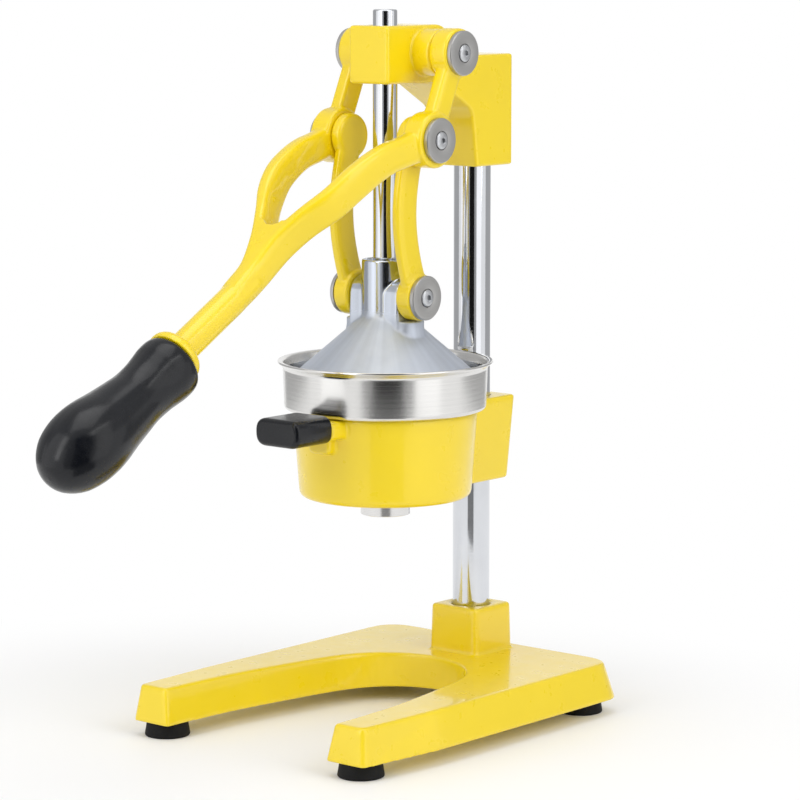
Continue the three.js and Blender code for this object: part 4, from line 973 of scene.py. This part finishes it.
# Along the handle's axis: where the stem starts, where its collar starts and where its tang ends
STEM_START, COLLAR, TANG_END = 138, 227, 314
STEM_RADIUS = 9.8
# The fork: half the spread of its arms, how high they arch, and an arm's half width and height
SPREAD, ARCH, ARM_WIDTH, ARM_HEIGHT = 39.2, 15.8, 6.6, 10
# A fork arm: share of the handle's reach, of half the spread, of the arch, of the drop to the
# handle's axis, of its height and of its width
FORK_SHARES = np.array([
    [0, 1, 0, 0, 1.05, 1.05], [0.097, 0.956, 0.43, 0.14, 1.01, 1], [0.162, 0.931, 0.756, 0.23, 1.02, 0.98],
    [0.228, 0.895, 0.93, 0.33, 1.06, 0.98], [0.3, 0.831, 0.965, 0.43, 1.11, 0.94],
    [0.38, 0.68, 0.82, 0.54, 1.12, 0.84], [0.459, 0.43, 0.685, 0.66, 1.1, 0.68],
    [0.544, 0.19, 0.435, 0.79, 1.08, 0.78], [0.638, 0.03, 0.12, 0.93, 1.0, 1.12],
    [0.73, 0, 0.04, 1, 0.91, 1.3], [0.8, 0, 0, 1, 0.72, 1]])
# The lever grip: its length, its largest radius and, along it, shares of both
GRIP_START, GRIP_LENGTH, GRIP_RADIUS = 233.6, 120.4, 24.9
GRIP_SHARES = np.array([
    [0, 0.7], [0.004, 0.76], [0.014, 0.805], [0.035, 0.83], [0.06, 0.838], [0.1, 0.83], [0.145, 0.8],
    [0.211, 0.762], [0.302, 0.754], [0.384, 0.798], [0.507, 0.883], [0.606, 0.968], [0.688, 1],
    [0.77, 0.976], [0.844, 0.895], [0.893, 0.79], [0.938, 0.637], [0.971, 0.464], [0.992, 0.25], [1, 0]])


class PRESS_OT_lever(bpy.types.Operator):
    """Builds the forked lever with its eyes, stem and collar"""
    bl_idname = "press.lever"
    bl_label = "Lever casting"

    def execute(self, context):
        along, side, arch, drop, tall, wide = smooth_path(FORK_SHARES, 73).T[..., None]
        path = HANDLE_START + COLLAR * along * ALONG + SPREAD * side * SIDE
        path = path + (ARCH * arch + HANDLE_DROP * (1 - drop)) * ACROSS
        arm = swept(path, ARM_WIDTH * wide, ARM_HEIGHT * tall, 3.2)
        # The web closes the fork where the arms meet, and the crotch rounds its end
        inner = (along[:, 0] > 0.489) & (along[:, 0] < 0.7)
        web = swept(path[inner] * (0, 1, 1), SPREAD * side[inner] + 4.6, 9.9 * tall[inner], 5)
        crotch = across_handle(bore(9.2, -8, 42), 108.8)
        stem = on_handle(turned(rounded([
            [0, STEM_START, 0], [4.5, STEM_START, 0], [9, 152, 4], [STEM_RADIUS, 172, 10],
            [STEM_RADIUS, COLLAR - 1, 4], [16.6, COLLAR, 1], [18, 229.6, 1], [18, 233.2, 0.6],
            [6, 233.2, 0], [6, TANG_END, 0.6], [0, TANG_END, 0]], 8), 80))
        boss = along_x(round_bar(18, 31.5, 46.9, 2), *MIDDLE_PIVOT)
        eye = along_x(round_bar(16, 31.5, 45.8, 2), *HEAD_PIVOT)
        upper = swept([[39.9, *MIDDLE_PIVOT], [39.9, *HEAD_PIVOT]], 5.2, 8.2, 5)
        sides = [arm, boss, eye, upper]
        piece = made("lever", [stem, web, *sides, *map(mirrored, sides)], "lever_casting")
        holes = [along_x(bore(EYE_BORE, 29.5, 50, 48), *pivot) for pivot in (HEAD_PIVOT, MIDDLE_PIVOT)]
        drilled(piece, crotch, *holes, *map(mirrored, holes))
        cast(piece, 0.8, 2)
        return {"FINISHED"}


class PRESS_OT_lever_grip(bpy.types.Operator):
    """Builds the moulded black grip on the lever's end"""
    bl_idname = "press.lever_grip"
    bl_label = "Lever grip"

    def execute(self, context):
        outside = smooth_path(GRIP_SHARES, 109) * (GRIP_LENGTH, GRIP_RADIUS) + (GRIP_START, 0)
        outside[-1, 1] = 0
        tang, columns = [[0, TANG_END + 0.6], [6.3, TANG_END + 0.6], [6.3, GRIP_START]], 112
        points, quads, lids = turned(np.vstack([tang, outside[:, ::-1]]), columns)
        # The grip hangs a little below its bore near the collar: an S-shaped fade along its length
        share = np.clip((outside[:, 0] - 250) / 85, 0, 1)
        sag = 2.6 * (1 - share**2 * (3 - 2 * share))
        points[:, 1] -= np.repeat(np.concatenate([[0] * len(tang), sag]), columns)
        made("grip", [on_handle((points, quads, lids))], "lever_grip", sharp=50)
        return {"FINISHED"}


# Pivots and small screws

# Each pivot's place, how far out its eye's face is, and where the screw's inner end is
PIVOTS = {
    "head": (HEAD_PIVOT, 45.8, 20.2), "middle": (MIDDLE_PIVOT, 46.9, 31.5), "bell": (BELL_PIVOT, 32.5, 9.7)}
WASHER_RADIUS, WASHER_THICKNESS, WASHER_GAP = 14.45, 3, 0.3
# Solids inside the press or under it, which keep their shape and only get a finish
INNER_KINDS = ("foot_screw", "column_plug", "column_bolt", "column_washer", "pivot_bush", "side_grip_stud")


def keyed(rim, half, depth, top, count=96):
    """A body of rings, closed at the top by a hexagon hole. The hole's outline is the hexagon's
    side distance over the cosine of the angle from the nearest side's middle."""
    rim = np.asarray(rim, float)
    turn = 2 * np.pi * np.arange(count) / count
    corner = half / np.cos((turn + np.pi / 6) % (np.pi / 3) - np.pi / 6)
    radius = np.vstack([np.repeat(rim[:, :1], count, 1), corner + 0.25, corner, corner])
    height = np.concatenate([rim[:, 1], [top, top - 0.25, top - depth]])
    rings = np.stack([radius * np.cos(turn), radius * np.sin(turn), np.repeat(height[:, None], count, 1)], -1)
    return stacked(rings)


def button_screw(tip):
    """A button head screw that stands on Z = 0: its dome is a quarter of an ellipse."""
    dome, top = np.linspace(0, 0.88, 9) * np.pi / 2, 2.42
    rim = [[2.7, tip], [3, tip + 0.3], [3, 0], [5.3, 0], [5.6, 0.3],
           *np.stack([2.9 + 2.7 * np.cos(dome), 1.2 + 1.2 * np.sin(dome)], 1), [2.9, top]]
    return keyed(rim, 1.9, 1.5, top)


def set_screw(radius, low, high, half, depth):
    """A headless screw from low to high with a hexagon hole in its upper end."""
    edge = 0.3
    rim = [[radius - edge, low], [radius, low + edge], [radius, high - edge], [radius - edge, high]]
    return keyed(rim, half, depth, high)


class PRESS_OT_pivots(bpy.types.Operator):
    """Builds the six pivot screws and their wide bevelled washers"""
    bl_idname = "press.pivots"
    bl_label = "Pivot screws and washers"

    def execute(self, context):
        bevel = context.scene.press_sizes.washer_bevel / MM
        for pivot, (place, face, tip) in PIVOTS.items():
            low = face + WASHER_GAP
            high, seat = low + WASHER_THICKNESS, low + WASHER_THICKNESS - 1.5
            profile = rounded([
                [PIVOT_BORE, low, 0], [WASHER_RADIUS, low, 0.25], [WASHER_RADIUS, high - bevel, 0.2],
                [WASHER_RADIUS - bevel, high, 0.2], [6.1, high, 0.2], [6.1, seat, 0.1], [PIVOT_BORE, seat, 0],
                [PIVOT_BORE, low, 0]], 3)
            washer = along_x(turned(profile, 128), *place)
            head = seat + 0.3
            screw = moved(along_x(button_screw(tip - head), *place), head)
            for side, hand in HANDS.items():
                axis = ((0, *place), (1 if side == "right" else -1, 0, 0))
                made(f"{pivot}_washer_{side}", [hand(washer)], f"{pivot}_pivot_washer_{side}", sharp=30,
                     axis=axis, material="washer_steel")
                made(f"{pivot}_screw_{side}", [hand(screw)], f"{pivot}_pivot_screw_{side}", sharp=35)
        return {"FINISHED"}


class PRESS_OT_set_screws(bpy.types.Operator):
    """Builds the set screws behind the column and in the bell's neck"""
    bl_idname = "press.set_screws"
    bl_label = "Set screws"

    def execute(self, context):
        screw = set_screw(4, 12.65, 16.85, 2, 2.1)
        for casting, heights in (("head", HEAD_SCREWS), ("bowl", BOWL_SCREWS)):
            for end, z in zip(("lower", "upper"), heights):
                name = f"{casting}_set_screw_{end}"
                made(f"{name}_body", [along_y(screw, 0, z)], name, sharp=30)
        small = set_screw(3, 8.15, 15, 1.5, 3.4)
        made("rod_set_screw_body", [along_y(small, ROD_Y, ROD_SCREW)], "rod_set_screw", sharp=30)
        return {"FINISHED"}


class PRESS_OT_fittings(bpy.types.Operator):
    """Gives the bushes, the bolt, the plug and the foot screws their finish"""
    bl_idname = "press.fittings"
    bl_label = "Inner fittings"

    def execute(self, context):
        for name in SLOT_OF:
            if any(kind in name for kind in INNER_KINDS):
                frame["nodes"][name].material_slots[0].material = finish_of(SLOT_OF[name])
        return {"FINISHED"}


# Stage

CAMERA_PLACE = Vector((1.39544, -1.54824, 0.52011))
CAMERA_TURN, CAMERA_RISE, CAMERA_LENS, SENSOR_WIDTH = 40.15, 8.07, 149.27, 36
MIDDLE = Vector((0.0, 0.06, 0.24))
WHITE = (1.0, 1.0, 1.0, 1.0)
# Lamps: degrees round from the camera and up, then metres from the press, metres wide and high,
# and the brightness of the face, where 1 is white
SOFTBOXES = {
    "left_softbox": (-50, 26, 1.7, 1.0, 1.5, 2.3),
    "right_softbox": (50, 26, 1.7, 1.0, 1.5, 2.3),
    "top_softbox": (0, 82, 1.8, 1.3, 1.3, 1.3),
}
# Cards that only reflections see: the same numbers, with the card's grey in the last place
CARDS = {
    "front_card": (4.8, 0, 0.6, 0.36, 1.0, 0.01),
    "front_flank_card": (4.8, 0, 0.66, 0.74, 1.1, 0.4),
    "low_card": (4.8, -30, 0.42, 0.3, 0.2, 0.24),
    "left_bright_card": (-60, 0, 0.8, 0.44, 1.6, 1.3),
    "right_bright_card": (50, 0, 0.8, 0.44, 1.6, 1.3),
    "left_card": (-124, 0, 1.05, 1.2, 1.6, 0.46),
    "right_card": (124, 0, 1.05, 1.2, 1.6, 0.46),
}
# The four ceiling cards: the same numbers without the turn
CEILING = (52, 2.4, 4.8, 2.4, 0.62)
# The floor's side in metres, and where it starts to turn white and is white
FLOOR_SIDE, FLOOR_SHADE_END, FLOOR_WHITE = 9, 0.17, 0.45


def bearing(turn, rise):
    """The direction away from the press at a compass turn and a rise in degrees."""
    a, e = math.radians(turn), math.radians(rise)
    return Vector((math.sin(a) * math.cos(e), -math.cos(a) * math.cos(e), math.sin(e)))


def looking(place, away):
    """The matrix of a thing at a place that looks against a direction."""
    return Matrix.Translation(place) @ away.to_track_quat("Z", "Y").to_matrix().to_4x4()


def facing(turn, rise, distance):
    """The matrix of a thing that looks at the press from a compass turn and a rise."""
    away = bearing(turn, rise)
    return looking(MIDDLE + away * distance, away)


def sheet_of(name, width, height, matrix, material):
    """A flat rectangle that belongs to the stage."""
    w, h = width / 2, height / 2
    mesh = bpy.data.meshes.new(name)
    mesh.from_pydata([(-w, -h, 0), (w, -h, 0), (w, h, 0), (-w, h, 0)], [], [(0, 1, 2, 3)])
    mesh.transform(matrix)
    mesh.materials.append(material)
    panel = bpy.data.objects.new(name, mesh)
    bpy.context.scene.collection.objects.link(panel)
    return panel


def softbox(name, turn, rise, distance, width, height, level):
    """A soft rectangular lamp whose face is as bright as level, where 1 is white."""
    lamp = bpy.data.lights.new(name, "AREA")
    lamp.shape, lamp.size, lamp.size_y = "RECTANGLE", width, height
    lamp.energy = level * math.pi * width * height
    light = bpy.data.objects.new(name, lamp)
    light.matrix_world = facing(turn, rise, distance)
    bpy.context.scene.collection.objects.link(light)


def card(name, turn, rise, distance, width, height, grey):
    """A card that only reflections see, as bright as grey."""
    material = bpy.data.materials.new(name)
    material.use_nodes = True
    tree = material.node_tree
    tree.nodes.clear()
    glow = node(tree, "ShaderNodeEmission", {"Color": (grey, grey, grey, 1.0)})
    node(tree, "ShaderNodeOutputMaterial", {"Surface": glow.outputs[0]})
    panel = sheet_of(name, width, height, facing(turn, rise, distance), material)
    panel.visible_camera = panel.visible_diffuse = panel.visible_shadow = False


def seen_by(tree, *rays):
    """1 for the kinds of ray that are named and 0 for the others: the largest of their flags."""
    path = node(tree, "ShaderNodeLightPath")
    seen = path.outputs[rays[0]]
    for ray in rays[1:]:
        seen = node(tree, "ShaderNodeMath", {0: seen, 1: path.outputs[ray]}, operation="MAXIMUM").outputs[0]
    return seen


def pale_floor():
    """A floor that takes the shadow near the press and turns to plain white further off."""
    values = {"Roughness": 0.6, "Specular IOR Level": 0.2}
    material, tree, shader, place = blank("floor", (0.95, 0.95, 0.95), values)
    away = node(tree, "ShaderNodeVectorMath", {0: place}, operation="LENGTH").outputs["Value"]
    limits = {"Value": away, "From Min": FLOOR_SHADE_END, "From Max": FLOOR_WHITE}
    far = node(tree, "ShaderNodeMapRange", limits, interpolation_type="SMOOTHSTEP").outputs["Result"]
    seen = seen_by(tree, "Is Camera Ray", "Is Glossy Ray")
    share = node(tree, "ShaderNodeMath", {0: far, 1: seen}, operation="MULTIPLY").outputs[0]
    white = node(tree, "ShaderNodeEmission", {"Color": WHITE})
    mix = node(tree, "ShaderNodeMixShader", {0: share, 1: shader.outputs[0], 2: white.outputs[0]})
    tree.links.new(mix.outputs[0], tree.nodes["Material Output"].inputs["Surface"])
    return material


class PRESS_OT_stage(bpy.types.Operator):
    """Sets up the floor, the soft light and the camera"""
    bl_idname = "press.stage"
    bl_label = "Stage"

    def execute(self, context):
        scene = context.scene
        sheet_of("floor", FLOOR_SIDE, FLOOR_SIDE, Matrix.Identity(4), pale_floor())
        for name, (turn, *numbers) in SOFTBOXES.items():
            softbox(name, CAMERA_TURN + turn, *numbers)
        for name, (turn, *numbers) in CARDS.items():
            card(name, CAMERA_TURN + turn, *numbers)
        for turn in range(0, 360, 90):
            card(f"ceiling_card_{turn}", turn, *CEILING)
        world = scene.world or bpy.data.worlds.new("world")
        scene.world = world
        world.use_nodes = True
        tree = world.node_tree
        tree.nodes.clear()
        white = node(tree, "ShaderNodeBackground", {"Color": WHITE, "Strength": 1.0})
        dim = node(tree, "ShaderNodeBackground", {"Color": WHITE, "Strength": 0.6})
        seen = seen_by(tree, "Is Camera Ray", "Is Glossy Ray", "Is Transmission Ray")
        mix = node(tree, "ShaderNodeMixShader", {0: seen, 1: dim.outputs[0], 2: white.outputs[0]})
        node(tree, "ShaderNodeOutputWorld", {"Surface": mix.outputs[0]})
        scene.view_settings.view_transform = "Standard"
        camera = bpy.data.objects.new("camera", bpy.data.cameras.new("camera"))
        camera.matrix_world = looking(CAMERA_PLACE, bearing(CAMERA_TURN, CAMERA_RISE))
        camera.data.lens, camera.data.sensor_width = CAMERA_LENS, SENSOR_WIDTH
        scene.collection.objects.link(camera)
        scene.camera = camera
        return {"FINISHED"}


OPERATORS = (
    PRESS_OT_base, PRESS_OT_feet, PRESS_OT_column, PRESS_OT_head, PRESS_OT_rod, PRESS_OT_bowl_arm,
    PRESS_OT_side_grip, PRESS_OT_cup, PRESS_OT_strainer, PRESS_OT_bell, PRESS_OT_links, PRESS_OT_lever,
    PRESS_OT_lever_grip, PRESS_OT_pivots, PRESS_OT_set_screws, PRESS_OT_fittings, PRESS_OT_stage)


class PRESS_PT_panel(bpy.types.Panel):
    """Lists the pieces of the press, its colours and its sizes"""
    bl_idname = "PRESS_PT_panel"
    bl_label = "Citrus Press"
    bl_space_type = "VIEW_3D"
    bl_region_type = "UI"
    bl_category = "Citrus Press"

    def draw(self, context):
        for settings in (context.scene.press_colours, context.scene.press_sizes):
            box = self.layout.box()
            for name in settings.__annotations__:
                box.prop(settings, name)
        for operator in OPERATORS:
            self.layout.operator(operator.bl_idname)


CLASSES = (PressColours, PressSizes, *OPERATORS, PRESS_PT_panel)


def register():
    for item in CLASSES:
        bpy.utils.register_class(item)
    bpy.types.Scene.press_colours = PointerProperty(type=PressColours)
    bpy.types.Scene.press_sizes = PointerProperty(type=PressSizes)


def unregister():
    del bpy.types.Scene.press_colours, bpy.types.Scene.press_sizes
    for item in reversed(CLASSES):
        bpy.utils.unregister_class(item)


def main():
    register()
    for operator in OPERATORS:
        getattr(bpy.ops.press, operator.bl_idname.split(".")[1])()


if __name__ == "__main__":
    main()
